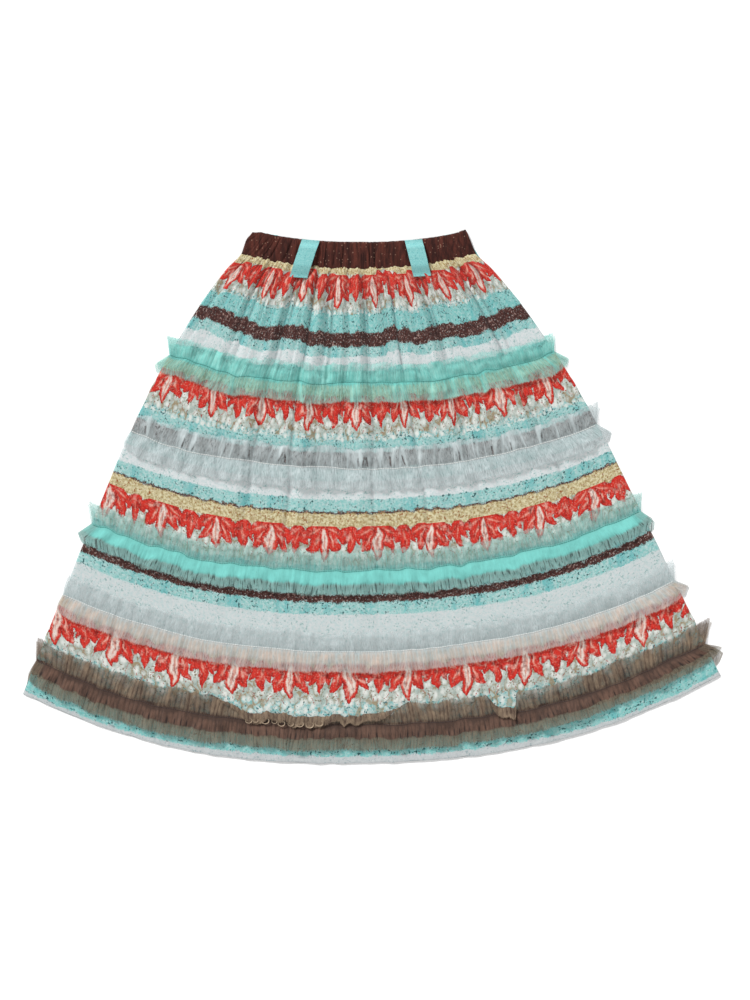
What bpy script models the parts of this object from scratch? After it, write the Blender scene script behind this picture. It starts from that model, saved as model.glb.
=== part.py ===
"""A midi skirt laid flat on a surface, seen from above.

It has a gathered elastic waistband with belt loops, a front and a back panel, and five gathered
net ruffles, each stitched round the skirt along its middle. Metres, +Z up off the surface,
+Y from the hem to the waist and +X to the right of someone who looks down at the front.

Places on the skirt are given by two numbers. down is the distance in metres from the waist seam
along the centre front, negative on the waistband. across runs from -1 at the left side seam to 1
at the right one.
"""

import math
from collections import namedtuple

import bpy

MM = 0.001

# Driving sizes
SKIRT_LENGTH = 0.715
BAND_HEIGHT = 0.038
SEAM_GAP = 0.3 * MM
PANEL_WALL = 1.5 * MM
BAND_WALL = 2.6 * MM
NET_WALL = 1.4 * MM
STRAP_WALL = 1.2 * MM

# The hem and every band above it hang in a curve: the side seams end higher than the centre
WAIST_SAG = 0.0217
SAG_GROWTH = 0.128
CURVE_POWER = 2.35
# The skirt was laid a little askew, with its hem to the right and the right side higher
TILT_GROWTH = 0.0183
SHIFT_GROWTH = 0.0263

# Half widths from the top of the waistband to the hem
Section = namedtuple("Section", "down half_width")
SECTIONS = [
    Section(-BAND_HEIGHT, 0.155),
    Section(0.000, 0.169),
    Section(0.026, 0.192),
    Section(0.080, 0.229),
    Section(0.140, 0.264),
    Section(0.220, 0.306),
    Section(0.330, 0.354),
    Section(0.480, 0.413),
    Section(0.600, 0.460),
    Section(SKIRT_LENGTH, 0.504),
]

# Folds that the gathered waist sends down the front, with how high each stands and how far it runs
Fold = namedtuple("Fold", "across height reach")
FOLDS = [
    Fold(-0.90, 3.0 * MM, 0.14),
    Fold(-0.78, 4.0 * MM, 0.20),
    Fold(-0.655, 5.0 * MM, 0.30),
    Fold(-0.53, 5.0 * MM, 0.60),
    Fold(-0.39, 4.5 * MM, 0.24),
    Fold(-0.27, 6.5 * MM, 0.66),
    Fold(-0.14, 5.0 * MM, 0.28),
    Fold(-0.01, 5.0 * MM, 0.62),
    Fold(0.10, 5.0 * MM, 0.26),
    Fold(0.28, 6.5 * MM, 0.62),
    Fold(0.41, 4.5 * MM, 0.52),
    Fold(0.53, 5.0 * MM, 0.30),
    Fold(0.73, 5.5 * MM, 0.56),
    Fold(0.84, 4.0 * MM, 0.24),
    Fold(0.93, 3.0 * MM, 0.14),
]
FOLD_WIDTH = 0.045
FOLD_RISE = 0.028
HELD_SHARE = 0.25
# How late the folds die away towards the side seams
FOLD_EDGE_POWER = 10

# Back belt loops lie pressed under the waist, which they lift
LOOP_LIFT = STRAP_WALL + SEAM_GAP
LIFT_HOLD = 0.018
LIFT_END = 0.055
FRONT_LIFT = 1.5 * MM
FRONT_LIFT_END = 0.030

# Each ruffle is one strip of net gathered on its middle line, with the widths of its two halves
Ruffle = namedtuple("Ruffle", "name down above below waves net")
RUFFLES = [
    Ruffle("ruffle_1", 0.166, 0.029, 0.029, 23, "net_turquoise"),
    Ruffle("ruffle_2", 0.289, 0.030, 0.032, 28, "net_ice"),
    Ruffle("ruffle_3", 0.438, 0.030, 0.031, 33, "net_turquoise"),
    Ruffle("ruffle_4", 0.5535, 0.030, 0.029, 37, "net_ice"),
    Ruffle("ruffle_5", 0.661, 0.032, 0.032, 40, "net_brown"),
]
# How far the corners of each strip's two ends stand out past the side seams
Overhang = namedtuple("Overhang", "left_above left_below right_above right_below")
OVERHANGS = {
    "ruffle_1": Overhang(0.016, 0.011, 0.014, 0.012),
    "ruffle_2": Overhang(0.001, 0.003, 0.016, 0.012),
    "ruffle_3": Overhang(0.016, 0.013, 0.012, 0.010),
    "ruffle_4": Overhang(0.005, 0.002, 0.012, 0.014),
    "ruffle_5": Overhang(0.011, 0.003, 0.022, 0.017),
}
RUFFLE_LOFT = 7.5 * MM
WAVE_HEIGHT = 3.0 * MM
# Waves differ in height by up to this share to each side, over this many turns to a wave
WAVE_UNEVENNESS = 0.2
WAVE_DRIFT = 2.4
# The strip's ends come down to the side seam over the first length and to the surface over the second
DROOP_INSIDE = 0.024
DROOP_OUTSIDE = 0.012
EDGE_CLEARANCE = 0.8 * MM
DROOPED_LEVEL = 1.0 * MM
# A seam clears every fold within this reach to each side, in across
SEAM_BRIDGE = 0.045

BAND_GATHERS = 24
GATHER_HEIGHT = 1.4 * MM

# Belt loops: plan positions of the middle of each end, measured from the centre of the waist seam
Loop = namedtuple("Loop", "name top_x foot_x foot_down")
FRONT_LOOPS = [
    Loop("belt_loop_left", -0.069, -0.087, 0.018),
    Loop("belt_loop_right", 0.079, 0.092, 0.017),
]
BACK_LOOPS = [
    Loop("back_loop_left", -0.130, -0.149, 0.010),
    Loop("back_loop_right", 0.143, 0.164, 0.006),
]
STRAP_WIDTH = 0.025
STRAP_INSET = 0.5 * MM
# The strap's ends are cut slanting: 0 is square across it and 1 level with the waistband
STRAP_SLANT = 0.75
BELT_ROOM = 5.6 * MM
# Share of a front loop's length where each stretch starts: stitched, rising, level, falling, stitched
LoopStation = namedtuple("LoopStation", "along raised")
LOOP_STATIONS = [
    LoopStation(0.00, 0.0),
    LoopStation(0.09, 0.0),
    LoopStation(0.12, 0.55),
    LoopStation(0.17, 1.0),
    LoopStation(0.50, 1.0),
    LoopStation(0.80, 1.0),
    LoopStation(0.85, 0.55),
    LoopStation(0.89, 0.0),
    LoopStation(1.00, 0.0),
]

# Mesh steps
PANEL_COLUMNS = 64
PANEL_ROWS = [0.0, 0.012, 0.028, 0.06, 0.10, 0.15, 0.21, 0.28, 0.36, 0.45, 0.54, 0.63, SKIRT_LENGTH]
BACK_COLUMNS = 24
BACK_ROWS = [0.0, 0.018, 0.035, 0.055, 0.14, 0.26, 0.42, 0.58, SKIRT_LENGTH]
BAND_STEPS_PER_GATHER = 4
BACK_BAND_COLUMNS = 24
BAND_ROWS = [-BAND_HEIGHT, -BAND_HEIGHT / 2, 0.0]
RUFFLE_ROWS = [1.0, 0.5, 0.0, -0.5, -1.0]
STRAP_COLUMNS = 2
FOOT_SAMPLES = 12
# Corners sharper than this stay crisp, in degrees
SHARP_ANGLE = 50

Finish = namedtuple("Finish", "colour roughness")
FINISHES = {
    "print_cloth": Finish((0.55, 0.78, 0.76), 0.85),
    "band_cloth": Finish((0.07, 0.025, 0.02), 0.8),
    "loop_cloth": Finish((0.16, 0.58, 0.55), 0.8),
    "net_turquoise": Finish((0.20, 0.68, 0.62), 0.7),
    "net_ice": Finish((0.62, 0.70, 0.72), 0.7),
    "net_brown": Finish((0.20, 0.11, 0.08), 0.7),
}


def smoothstep(low, high, value):
    share = min(1.0, max(0.0, (value - low) / (high - low)))
    return share * share * (3 - 2 * share)


def half_width(down):
    """The skirt's half width: a smooth curve through the sections."""
    last = len(SECTIONS) - 1
    low = 0
    while low < last - 1 and SECTIONS[low + 1].down < down:
        low += 1
    before, start, end, after = (SECTIONS[min(last, max(0, low + i))] for i in (-1, 0, 1, 2))
    step = end.down - start.down
    share = (down - start.down) / step
    slope_in = (end.half_width - before.half_width) / (end.down - before.down) * step
    slope_out = (after.half_width - start.half_width) / (after.down - start.down) * step
    return (
        (2 * share**3 - 3 * share**2 + 1) * start.half_width
        + (share**3 - 2 * share**2 + share) * slope_in
        + (3 * share**2 - 2 * share**3) * end.half_width
        + (share**3 - share**2) * slope_out
    )


def plan(across, down):
    """Where a place on the skirt lies on the surface, seen from above."""
    sag = WAIST_SAG + SAG_GROWTH * down
    x = SHIFT_GROWTH * down + half_width(down) * across
    y = -down + sag * abs(across) ** CURVE_POWER + TILT_GROWTH * down * across
    return x, y


def fold_height(across, down):
    """How far the front panel's folds lift it off the back panel."""
    total = 0.0
    for fold in FOLDS:
        ridge = math.exp(-(((across - fold.across) / FOLD_WIDTH) ** 2))
        grown = HELD_SHARE + (1 - HELD_SHARE) * smoothstep(0, FOLD_RISE, down)
        left = 1 - smoothstep(0, fold.reach, down)
        total += fold.height * ridge * grown * left
    return total * (1 - min(1.0, abs(across)) ** FOLD_EDGE_POWER)


def back_under(down):
    """Height of the back panel's underside: flat on the surface, lifted at the waist by the loops."""
    return LOOP_LIFT * (1 - smoothstep(LIFT_HOLD, LIFT_END, down))


def front_under(across, down):
    lift = FRONT_LIFT * (1 - smoothstep(0, FRONT_LIFT_END, down))
    return back_under(down) + PANEL_WALL + SEAM_GAP + lift + fold_height(across, down)


def front_top(across, down):
    return front_under(across, down) + PANEL_WALL


def seam_seat(across, down):
    """Height at which a seam lies on the front panel and bridges its narrow dips."""
    reach = [across + SEAM_BRIDGE * step / 3 for step in range(-3, 4)]
    return max(front_top(max(-1.0, min(1.0, place)), down) for place in reach) + SEAM_GAP


def evenly(count):
    """Places across the skirt, from its left side to its right."""
    return [-1 + 2 * i / count for i in range(count + 1)]


def wall_mesh(name, under, over):
    """A closed wall between two grids of points with the same rows and columns.

    Rows run from the waist to the hem and columns from left to right. The diagonals of the small
    quadrilaterals mirror from left to right and from the upper rows to the lower ones, so that the
    corners of a strip can bend down.
    """
    rows, columns = len(under), len(under[0])
    points = [p for grid in (over, under) for row in grid for p in row]

    def over_at(r, c):
        return r * columns + c

    def under_at(r, c):
        return rows * columns + r * columns + c

    faces = []
    for r in range(rows - 1):
        for c in range(columns - 1):
            falls_rightward = (2 * c >= columns - 1) == (2 * r < rows - 1)
            for at, outward in ((over_at, 1), (under_at, -1)):
                a, b = at(r, c), at(r, c + 1)
                d, e = at(r + 1, c), at(r + 1, c + 1)
                pair = [(a, d, e), (a, e, b)] if falls_rightward else [(a, d, b), (b, d, e)]
                faces += [face[::outward] for face in pair]
    rim = [(0, c) for c in range(columns)]
    rim += [(r, columns - 1) for r in range(1, rows)]
    rim += [(rows - 1, c) for c in range(columns - 2, -1, -1)]
    rim += [(r, 0) for r in range(rows - 2, 0, -1)]
    for here, there in zip(rim, rim[1:] + rim[:1]):
        a, b = over_at(*here), over_at(*there)
        d, e = under_at(*here), under_at(*there)
        faces += [(a, b, e), (a, e, d)]
    mesh = bpy.data.meshes.new(name)
    mesh.from_pydata(points, [], faces)
    return mesh


def add_piece(name, mesh, finish):
    """Puts a mesh in the scene as a named piece, smooth shaded, with its material."""
    mesh.shade_smooth()
    mesh.set_sharp_from_angle(angle=math.radians(SHARP_ANGLE))
    mesh.materials.append(material(finish))
    piece = bpy.data.objects.new(name, mesh)
    bpy.context.scene.collection.objects.link(piece)
    return piece


def material(name):
    made = bpy.data.materials.get(name)
    if made is None:
        made = bpy.data.materials.new(name)
        made.use_nodes = True
        shader = made.node_tree.nodes["Principled BSDF"]
        shader.inputs["Base Color"].default_value = (*FINISHES[name].colour, 1)
        shader.inputs["Roughness"].default_value = FINISHES[name].roughness
    return made


def wall_between(name, finish, places, downs, bottom, top):
    """A wall over a grid of places, between two heights that are functions of across and down."""
    under = [[(*plan(a, d), bottom(a, d)) for a in places] for d in downs]
    over = [[(*plan(a, d), top(a, d)) for a in places] for d in downs]
    return add_piece(name, wall_mesh(name, under, over), finish)


def band_edge_trim(downs):
    """The waistband's rows, ending a seam's gap above the panel."""
    return [min(d, -SEAM_GAP) for d in downs]


def back_panel():
    return wall_between(
        "back_panel",
        "print_cloth",
        evenly(BACK_COLUMNS),
        BACK_ROWS,
        lambda a, d: back_under(d),
        lambda a, d: back_under(d) + PANEL_WALL,
    )


def front_panel():
    return wall_between(
        "front_panel", "print_cloth", evenly(PANEL_COLUMNS), PANEL_ROWS, front_under, front_top
    )


BACK_BAND_UNDER = LOOP_LIFT
FRONT_BAND_UNDER = BACK_BAND_UNDER + BAND_WALL + SEAM_GAP
FRONT_BAND_TOP = FRONT_BAND_UNDER + BAND_WALL + GATHER_HEIGHT


def waistband_back():
    return wall_between(
        "waistband_back",
        "band_cloth",
        evenly(BACK_BAND_COLUMNS),
        band_edge_trim([BAND_ROWS[0], BAND_ROWS[-1]]),
        lambda a, d: BACK_BAND_UNDER,
        lambda a, d: BACK_BAND_UNDER + BAND_WALL,
    )


def gather_top(across, down):
    """The front waistband's outer face, with the elastic's gathers raised on it."""
    turn = (across + 1) / 2 * BAND_GATHERS * 2 * math.pi
    raised = 0.5 - 0.5 * math.cos(turn)
    return FRONT_BAND_UNDER + BAND_WALL + GATHER_HEIGHT * raised


def waistband_front():
    return wall_between(
        "waistband_front",
        "band_cloth",
        evenly(BAND_GATHERS * BAND_STEPS_PER_GATHER),
        band_edge_trim(BAND_ROWS),
        lambda a, d: FRONT_BAND_UNDER,
        gather_top,
    )


def ruffle_point(row, along, share, turn):
    """A point under a ruffle's strip.

    along runs from -1 to 1 from end to end, share from 1 at the upper free edge through 0 at the
    stitched line to -1 at the lower free edge, and turn is 1 on a wave's crest and -1 in its dip.
    """
    width = row.above if share > 0 else row.below
    down = row.down - share * width
    open_share = abs(share)
    overhang = OVERHANGS[row.name]
    if along < 0:
        past = overhang.left_above if share > 0 else overhang.left_below
    else:
        past = overhang.right_above if share > 0 else overhang.right_below
    across = along * (1 + past * open_share / half_width(down))
    x, y = plan(across, down)
    raised = RUFFLE_LOFT * math.sin(open_share * math.pi / 2)
    uneven = 1 - WAVE_UNEVENNESS * (1 - math.sin(along * row.waves * WAVE_DRIFT))
    raised += WAVE_HEIGHT * open_share * turn * uneven
    seat = seam_seat(across, down)
    outside = (abs(across) - 1) * half_width(down)
    edge_drop = (raised - EDGE_CLEARANCE * open_share) * smoothstep(-DROOP_INSIDE, 0, outside)
    end_drop = (seat + EDGE_CLEARANCE - DROOPED_LEVEL) * smoothstep(0, DROOP_OUTSIDE, outside)
    return x, y, seat + raised - edge_drop - end_drop


def ruffle(row):
    """One strip of net, as a wall in waves that open towards its free edges."""
    under = []
    for share in RUFFLE_ROWS:
        line = []
        for column, along in enumerate(evenly(2 * row.waves)):
            line.append(ruffle_point(row, along, share, 1 if column % 2 else -1))
        under.append(line)
    over = [[(x, y, z + NET_WALL) for x, y, z in line] for line in under]
    return add_piece(row.name, wall_mesh(row.name, under, over), row.net)


PLACE_ROUNDS = 20


def panel_place(x, y):
    """The place on the skirt, as across and down, that lies at x and y, found round by round."""
    down = -y
    for _ in range(PLACE_ROUNDS):
        across = (x - SHIFT_GROWTH * down) / half_width(down)
        down -= y - plan(across, down)[1]
    return across, down


def strap_place(loop, share, out):
    """Where a loop's strap lies: share runs from its top to its foot and out across its width."""
    top_across = loop.top_x / half_width(-BAND_HEIGHT)
    top = (loop.top_x, plan(top_across, -BAND_HEIGHT)[1] - STRAP_INSET)
    foot_across = loop.foot_x / half_width(loop.foot_down)
    foot = (loop.foot_x, plan(foot_across, loop.foot_down)[1])
    length = math.dist(top, foot)
    along = ((foot[0] - top[0]) / length, (foot[1] - top[1]) / length)
    run = length * share - STRAP_SLANT * out * along[0] / along[1]
    return top[0] + along[0] * run - along[1] * out, top[1] + along[1] * run + along[0] * out


def strap(loop, stations, height_at):
    """A flat strap from its top end to its foot. height_at gives its underside at a station."""
    under = []
    for station in stations:
        line = []
        for column in range(STRAP_COLUMNS + 1):
            out = STRAP_WIDTH * (column / STRAP_COLUMNS - 0.5)
            line.append((*strap_place(loop, station.along, out), height_at(station)))
        under.append(line)
    over = [[(x, y, z + STRAP_WALL) for x, y, z in line] for line in under]
    return add_piece(loop.name, wall_mesh(loop.name, under, over), "loop_cloth")


def front_loop(loop):
    """A belt loop that stands off the waistband, stitched at its top edge and on the panel."""
    foot_start = LOOP_STATIONS[-2].along
    highest = 0.0
    for i in range(FOOT_SAMPLES + 1):
        for j in range(FOOT_SAMPLES + 1):
            share = foot_start + (1 - foot_start) * i / FOOT_SAMPLES
            out = STRAP_WIDTH * (j / FOOT_SAMPLES - 0.5)
            across, down = panel_place(*strap_place(loop, share, out))
            highest = max(highest, front_top(across, max(0.0, down)))
    on_band = FRONT_BAND_TOP + SEAM_GAP
    on_panel = highest + SEAM_GAP

    def height_at(station):
        seat = on_band if station.along < 0.5 else on_panel
        return seat + (FRONT_BAND_TOP + BELT_ROOM - seat) * station.raised

    return strap(loop, LOOP_STATIONS, height_at)


def back_loop(loop):
    """A back belt loop, pressed flat between the waistband and the surface."""
    flat_stations = [LOOP_STATIONS[0], LOOP_STATIONS[-1]]
    return strap(loop, flat_stations, lambda station: 0.0)


def centre_on_surface(pieces):
    """Moves the skirt so that the middle of its outline is over the origin."""
    corners = [v.co for p in pieces for v in p.data.vertices]
    middle_x = (min(c.x for c in corners) + max(c.x for c in corners)) / 2
    middle_y = (min(c.y for c in corners) + max(c.y for c in corners)) / 2
    for piece in pieces:
        piece.location = (-middle_x, -middle_y, 0)


def build():
    for old in list(bpy.data.objects):
        bpy.data.objects.remove(old)
    pieces = [back_panel(), front_panel(), waistband_back(), waistband_front()]
    pieces += [ruffle(row) for row in RUFFLES]
    pieces += [front_loop(loop) for loop in FRONT_LOOPS]
    pieces += [back_loop(loop) for loop in BACK_LOOPS]
    centre_on_surface(pieces)


build()
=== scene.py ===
"""The looks of a midi skirt laid flat: printed panels, elastic waistband, belt loops and net ruffles.

Places on the skirt are (across, down): down is the distance in metres from the waist seam along the
centre front, negative on the waistband, and across runs from -1 at the left side seam to 1 at the
right one. The form repeats the solids' own sizes, with finer folds, gathers and pleats on it.
"""

import math
from collections import namedtuple

import bpy
import numpy as np
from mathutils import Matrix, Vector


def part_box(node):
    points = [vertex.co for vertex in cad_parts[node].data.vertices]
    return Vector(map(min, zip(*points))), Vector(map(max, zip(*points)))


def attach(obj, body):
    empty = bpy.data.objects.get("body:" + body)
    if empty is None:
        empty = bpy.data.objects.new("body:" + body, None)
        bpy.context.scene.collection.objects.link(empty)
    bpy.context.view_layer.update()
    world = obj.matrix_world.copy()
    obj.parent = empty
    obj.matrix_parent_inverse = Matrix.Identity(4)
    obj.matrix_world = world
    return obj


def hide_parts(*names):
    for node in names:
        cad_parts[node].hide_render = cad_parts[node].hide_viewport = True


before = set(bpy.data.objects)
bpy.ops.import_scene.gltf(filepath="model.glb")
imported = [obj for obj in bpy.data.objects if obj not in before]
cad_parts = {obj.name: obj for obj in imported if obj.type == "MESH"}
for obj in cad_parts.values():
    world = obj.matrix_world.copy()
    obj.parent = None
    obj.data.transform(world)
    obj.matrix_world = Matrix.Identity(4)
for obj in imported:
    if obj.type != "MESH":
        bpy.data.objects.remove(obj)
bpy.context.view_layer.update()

MM = 0.001
BODY = "root"

# The skirt's form, as in the solids
SKIRT_LENGTH = 0.715
BAND_HEIGHT = 0.038
SEAM_GAP = 0.3 * MM
PANEL_WALL = 1.5 * MM
WAIST_SAG = 0.0217
SAG_GROWTH = 0.128
CURVE_POWER = 2.35
TILT_GROWTH = 0.0183
SHIFT_GROWTH = 0.0263
LOOP_LIFT = 1.5 * MM
LIFT_HOLD = 0.018
LIFT_END = 0.055
FRONT_LIFT = 1.5 * MM
FRONT_LIFT_END = 0.030

Section = namedtuple("Section", "down half_width")
SECTIONS = [
    Section(-BAND_HEIGHT, 0.155),
    Section(0.000, 0.169),
    Section(0.026, 0.192),
    Section(0.080, 0.229),
    Section(0.140, 0.264),
    Section(0.220, 0.306),
    Section(0.330, 0.354),
    Section(0.480, 0.413),
    Section(0.600, 0.460),
    Section(SKIRT_LENGTH, 0.504),
]
# Half widths of the flat cloth of one panel, before the waist gathers it
CUT_HALF_AT_WAIST = 0.335
CUT_HALF_AT_HEM = 0.506

# Folds down the front. steep is the side, -1 left or 1 right, on which the cloth tucks under
Fold = namedtuple("Fold", "across height reach steep")
FOLDS = [
    Fold(-0.90, 3.0 * MM, 0.14, -1),
    Fold(-0.78, 4.0 * MM, 0.20, 1),
    Fold(-0.655, 5.0 * MM, 0.30, -1),
    Fold(-0.53, 5.0 * MM, 0.60, 1),
    Fold(-0.39, 4.5 * MM, 0.24, -1),
    Fold(-0.27, 6.5 * MM, 0.66, -1),
    Fold(-0.14, 5.0 * MM, 0.28, -1),
    Fold(-0.01, 5.0 * MM, 0.62, 1),
    Fold(0.10, 5.0 * MM, 0.26, -1),
    Fold(0.28, 6.5 * MM, 0.62, -1),
    Fold(0.41, 4.5 * MM, 0.52, 1),
    Fold(0.53, 5.0 * MM, 0.30, -1),
    Fold(0.73, 5.5 * MM, 0.56, 1),
    Fold(0.84, 4.0 * MM, 0.24, -1),
    Fold(0.93, 3.0 * MM, 0.14, -1),
]
FOLD_WIDTH = 0.045
FOLD_RISE = 0.028
HELD_SHARE = 0.25
FOLD_DRIFT = 0.014
FOLD_CREASE = 3.2 * MM
# How softly a crease levels out where it meets the back panel
CREASE_FLOOR = 0.7 * MM
# Heights and depths at which the painted shade along a sharp crease is fully dark
FULL_SHADE_FOLD = 6.5 * MM
FULL_SHADE_GATHER = 9 * MM
TOOTH_RISE = 0.11

# Gathers that the waistband sends down the front: their step across, depth, and least and most reach
Gather = namedtuple("Gather", "step depth shortest longest seed")
GATHERS = [
    Gather(0.085, 4.0 * MM, 0.14, 0.46, 11),
    Gather(0.034, 1.9 * MM, 0.03, 0.14, 12),
]
GATHER_DRIFT = 0.010

# Small unevenness of the front
BROAD_RUMPLE = 0.50 * MM
FINE_RUMPLE = 0.28 * MM
SEAM_PUCKER = 0.55 * MM
SEAM_PUCKER_REACH = 0.013
SIDE_PUCKER = 0.7 * MM
HEM_PUCKER = 0.55 * MM
EDGE_ROUND = 0.012
EDGE_LEVEL = 1.65 * MM

# How far folds and gathers carry the print, and how far it turns up at the side seams
PRINT_LEDGE = 4.2 * MM
PRINT_STEP = 6.0 * MM
SIDE_SLACK = 6.0 * MM
TURNED_UP_LEFT = 11.0 * MM
TURNED_UP_RIGHT = 4.0 * MM
HEM_NARROWING = 4.5 * MM

# One half of a ruffle, above or below its seam. left and right are how far its ends stand out past
# the side seams. It hides near and far of what lies under it: a short layer near the seam ends at a
# share of the half's width, softly over blur, and lies on a longer one, whose far part shows alone.
# taper is how much narrower the half gets towards the right
Half = namedtuple("Half", "width left right near far end blur taper")
# wobble and ripple are how far the stitched line strays, slowly and quickly; pleat is the depth of the
# gathers at the free edge and lump that of the soft heaps between them
Ruffle = namedtuple("Ruffle", "name slot down waves pitch wobble ripple pleat lump above below")
RUFFLES = [
    Ruffle(
        "ruffle_1", "net_turquoise", 0.166, 23, 5.0 * MM, 3.6 * MM, 2.6 * MM, 0.24 * MM, 2.0 * MM,
        Half(0.028, 0.016, 0.014, 0.80, 0.40, 0.54, 0.10, 0.0),
        Half(0.030, 0.011, 0.012, 0.56, 0.44, 0.54, 0.12, 0.0),
    ),
    Ruffle(
        "ruffle_2", "net_ice", 0.289, 28, 6.5 * MM, 2.2 * MM, 0.9 * MM, 0.14 * MM, 0.8 * MM,
        Half(0.031, 0.001, 0.016, 0.56, 0.50, 0.58, 0.10, 0.0),
        Half(0.032, 0.003, 0.012, 0.62, 0.50, 0.58, 0.08, 0.0),
    ),
    Ruffle(
        "ruffle_3", "net_turquoise", 0.438, 33, 6.0 * MM, 1.6 * MM, 2.6 * MM, 0.16 * MM, 1.2 * MM,
        Half(0.030, 0.016, 0.012, 0.50, 0.36, 0.54, 0.10, 0.0),
        Half(0.036, 0.013, 0.010, 0.93, 0.50, 0.55, 0.17, 0.06),
    ),
    Ruffle(
        "ruffle_4", "net_ice", 0.5535, 37, 6.0 * MM, 1.8 * MM, 0.5 * MM, 0.12 * MM, 0.7 * MM,
        Half(0.030, 0.005, 0.012, 0.52, 0.36, 0.56, 0.10, 0.0),
        Half(0.031, 0.002, 0.014, 0.74, 0.50, 0.58, 0.12, 0.0),
    ),
    Ruffle(
        "ruffle_5", "net_brown", 0.661, 40, 6.5 * MM, 1.8 * MM, 1.4 * MM, 0.34 * MM, 1.4 * MM,
        Half(0.032, 0.011, 0.022, 0.76, 0.58, 0.56, 0.10, 0.0),
        Half(0.039, 0.003, 0.017, 0.94, 0.64, 0.50, 0.04, 0.22),
    ),
]
RUFFLE_LOFT = 7.0 * MM
WAVE_HEIGHT = 1.8 * MM
DROOP_INSIDE = 0.024
DROOP_OUTSIDE = 0.012
EDGE_CLEARANCE = 0.8 * MM
DROOPED_LEVEL = 1.2 * MM

# Ruffles whose pleats part where the short layer below the seam ends, with painted shade
# in the partings
SLITS_BELOW = ["ruffle_5"]
# Ruffles with a line of painted shadow just below the seam
SHADED_SEAMS = ["ruffle_1", "ruffle_3", "ruffle_5"]

# Places where a ruffle's half is folded back on itself: side is 1 above its seam and -1 below it,
# and turn is the share of the half's width at which it folds
Flip = namedtuple("Flip", "ruffle across half_length side turn")
FLIPS = [
    Flip("ruffle_5", -0.19, 0.34, 1, 0.44),
    Flip("ruffle_5", 0.405, 0.055, 1, 0.32),
]

# Places where a half bunches up into a denser tuft that widens from the seam, and slits beside them
# that bare the cloth: how many there are, and how wide in metres
Tufts = namedtuple("Tufts", "ruffle side count tuft slit")
TUFTS = [
    Tufts("ruffle_1", 1, 16, 0.0100, 0.0),
    Tufts("ruffle_1", -1, 14, 0.0080, 0.0),
    Tufts("ruffle_2", 1, 16, 0.0058, 0.0015),
    Tufts("ruffle_2", 1, 34, 0.0034, 0.0),
    Tufts("ruffle_5", 1, 40, 0.0070, 0.0),
]


def smoothstep(low, high, value):
    share = np.clip((value - low) / (high - low), 0, 1)
    return share * share * (3 - 2 * share)


def bell(value, centre, width):
    return np.exp(-(((value - centre) / width) ** 2))


# How many random values a table holds each way, and a whole number that keeps places in it above zero
KNOTS = 4096
KNOTS_START = 1500
PLANE_KNOTS = 256
PLANE_START = 600


def eased_knots(spot, seed, hold):
    """Random values from -1 to 1 at whole numbers, each held for a share of the way to the next."""
    knots = np.random.default_rng(seed).uniform(-1, 1, KNOTS)
    low = np.floor(spot).astype(int)
    share = smoothstep(hold, 1.0, spot - low)
    return knots[low % KNOTS] * (1 - share) + knots[(low + 1) % KNOTS] * share


def wander(places, step, seed):
    """Smooth values from -1 to 1, with a new random one every step."""
    return eased_knots(np.asarray(places, float) / step + KNOTS_START, seed, 0.0)


def ledges(places, step, seed):
    """Values from -1 to 1 that hold level and then change sharply, about once every step."""
    moved = np.asarray(places, float) / step + 0.35 * wander(places, 1.7 * step, seed + 1)
    return eased_knots(moved + KNOTS_START, seed, 0.80)


def teeth(places, step, seed):
    """Sharp rises from 0 to 1, each followed by a slow fall, and the number of the tooth."""
    count = np.asarray(places, float) / step + 0.7 * wander(places, 2.1 * step, seed) + KNOTS_START
    low = np.floor(count).astype(int)
    share = count - low
    rise = smoothstep(0, TOOTH_RISE, share)
    fall = 1 - smoothstep(TOOTH_RISE, 1.0, share)
    return rise * fall, low


def rumple(x, y, step, seed):
    """Smooth values from -1 to 1 over a plane, with a new random one every step each way."""
    knots = np.random.default_rng(seed).uniform(-1, 1, (PLANE_KNOTS, PLANE_KNOTS))
    x_spot, y_spot = x / step + PLANE_START, y / step + PLANE_START
    x_low, y_low = np.floor(x_spot).astype(int), np.floor(y_spot).astype(int)
    x_share, y_share = smoothstep(0, 1, x_spot - x_low), smoothstep(0, 1, y_spot - y_low)
    x_low, y_low = x_low % PLANE_KNOTS, y_low % PLANE_KNOTS
    x_next, y_next = (x_low + 1) % PLANE_KNOTS, (y_low + 1) % PLANE_KNOTS
    near = knots[x_low, y_low] * (1 - x_share) + knots[x_next, y_low] * x_share
    far = knots[x_low, y_next] * (1 - x_share) + knots[x_next, y_next] * x_share
    return near * (1 - y_share) + far * y_share


SECTION_DOWNS = np.array([s.down for s in SECTIONS])
SECTION_HALVES = np.array([s.half_width for s in SECTIONS])


def half_width(down):
    """The skirt's half width: a smooth curve through the sections."""
    last = len(SECTIONS) - 1
    low = np.clip(np.searchsorted(SECTION_DOWNS, down) - 1, 0, last - 1)
    before, after = np.maximum(low - 1, 0), np.minimum(low + 2, last)
    step = SECTION_DOWNS[low + 1] - SECTION_DOWNS[low]
    share = (down - SECTION_DOWNS[low]) / step
    start, end = SECTION_HALVES[low], SECTION_HALVES[low + 1]
    slope_in = (end - SECTION_HALVES[before]) / (SECTION_DOWNS[low + 1] - SECTION_DOWNS[before])
    slope_out = (SECTION_HALVES[after] - start) / (SECTION_DOWNS[after] - SECTION_DOWNS[low])
    return (
        (2 * share**3 - 3 * share**2 + 1) * start
        + (share**3 - 2 * share**2 + share) * slope_in * step
        + (3 * share**2 - 2 * share**3) * end
        + (share**3 - share**2) * slope_out * step
    )


back_low, back_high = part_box("back_panel")
SEAM_X = (back_low.x + back_high.x) / 2 - SHIFT_GROWTH * SKIRT_LENGTH
SEAM_Y = back_high.y - WAIST_SAG


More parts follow.
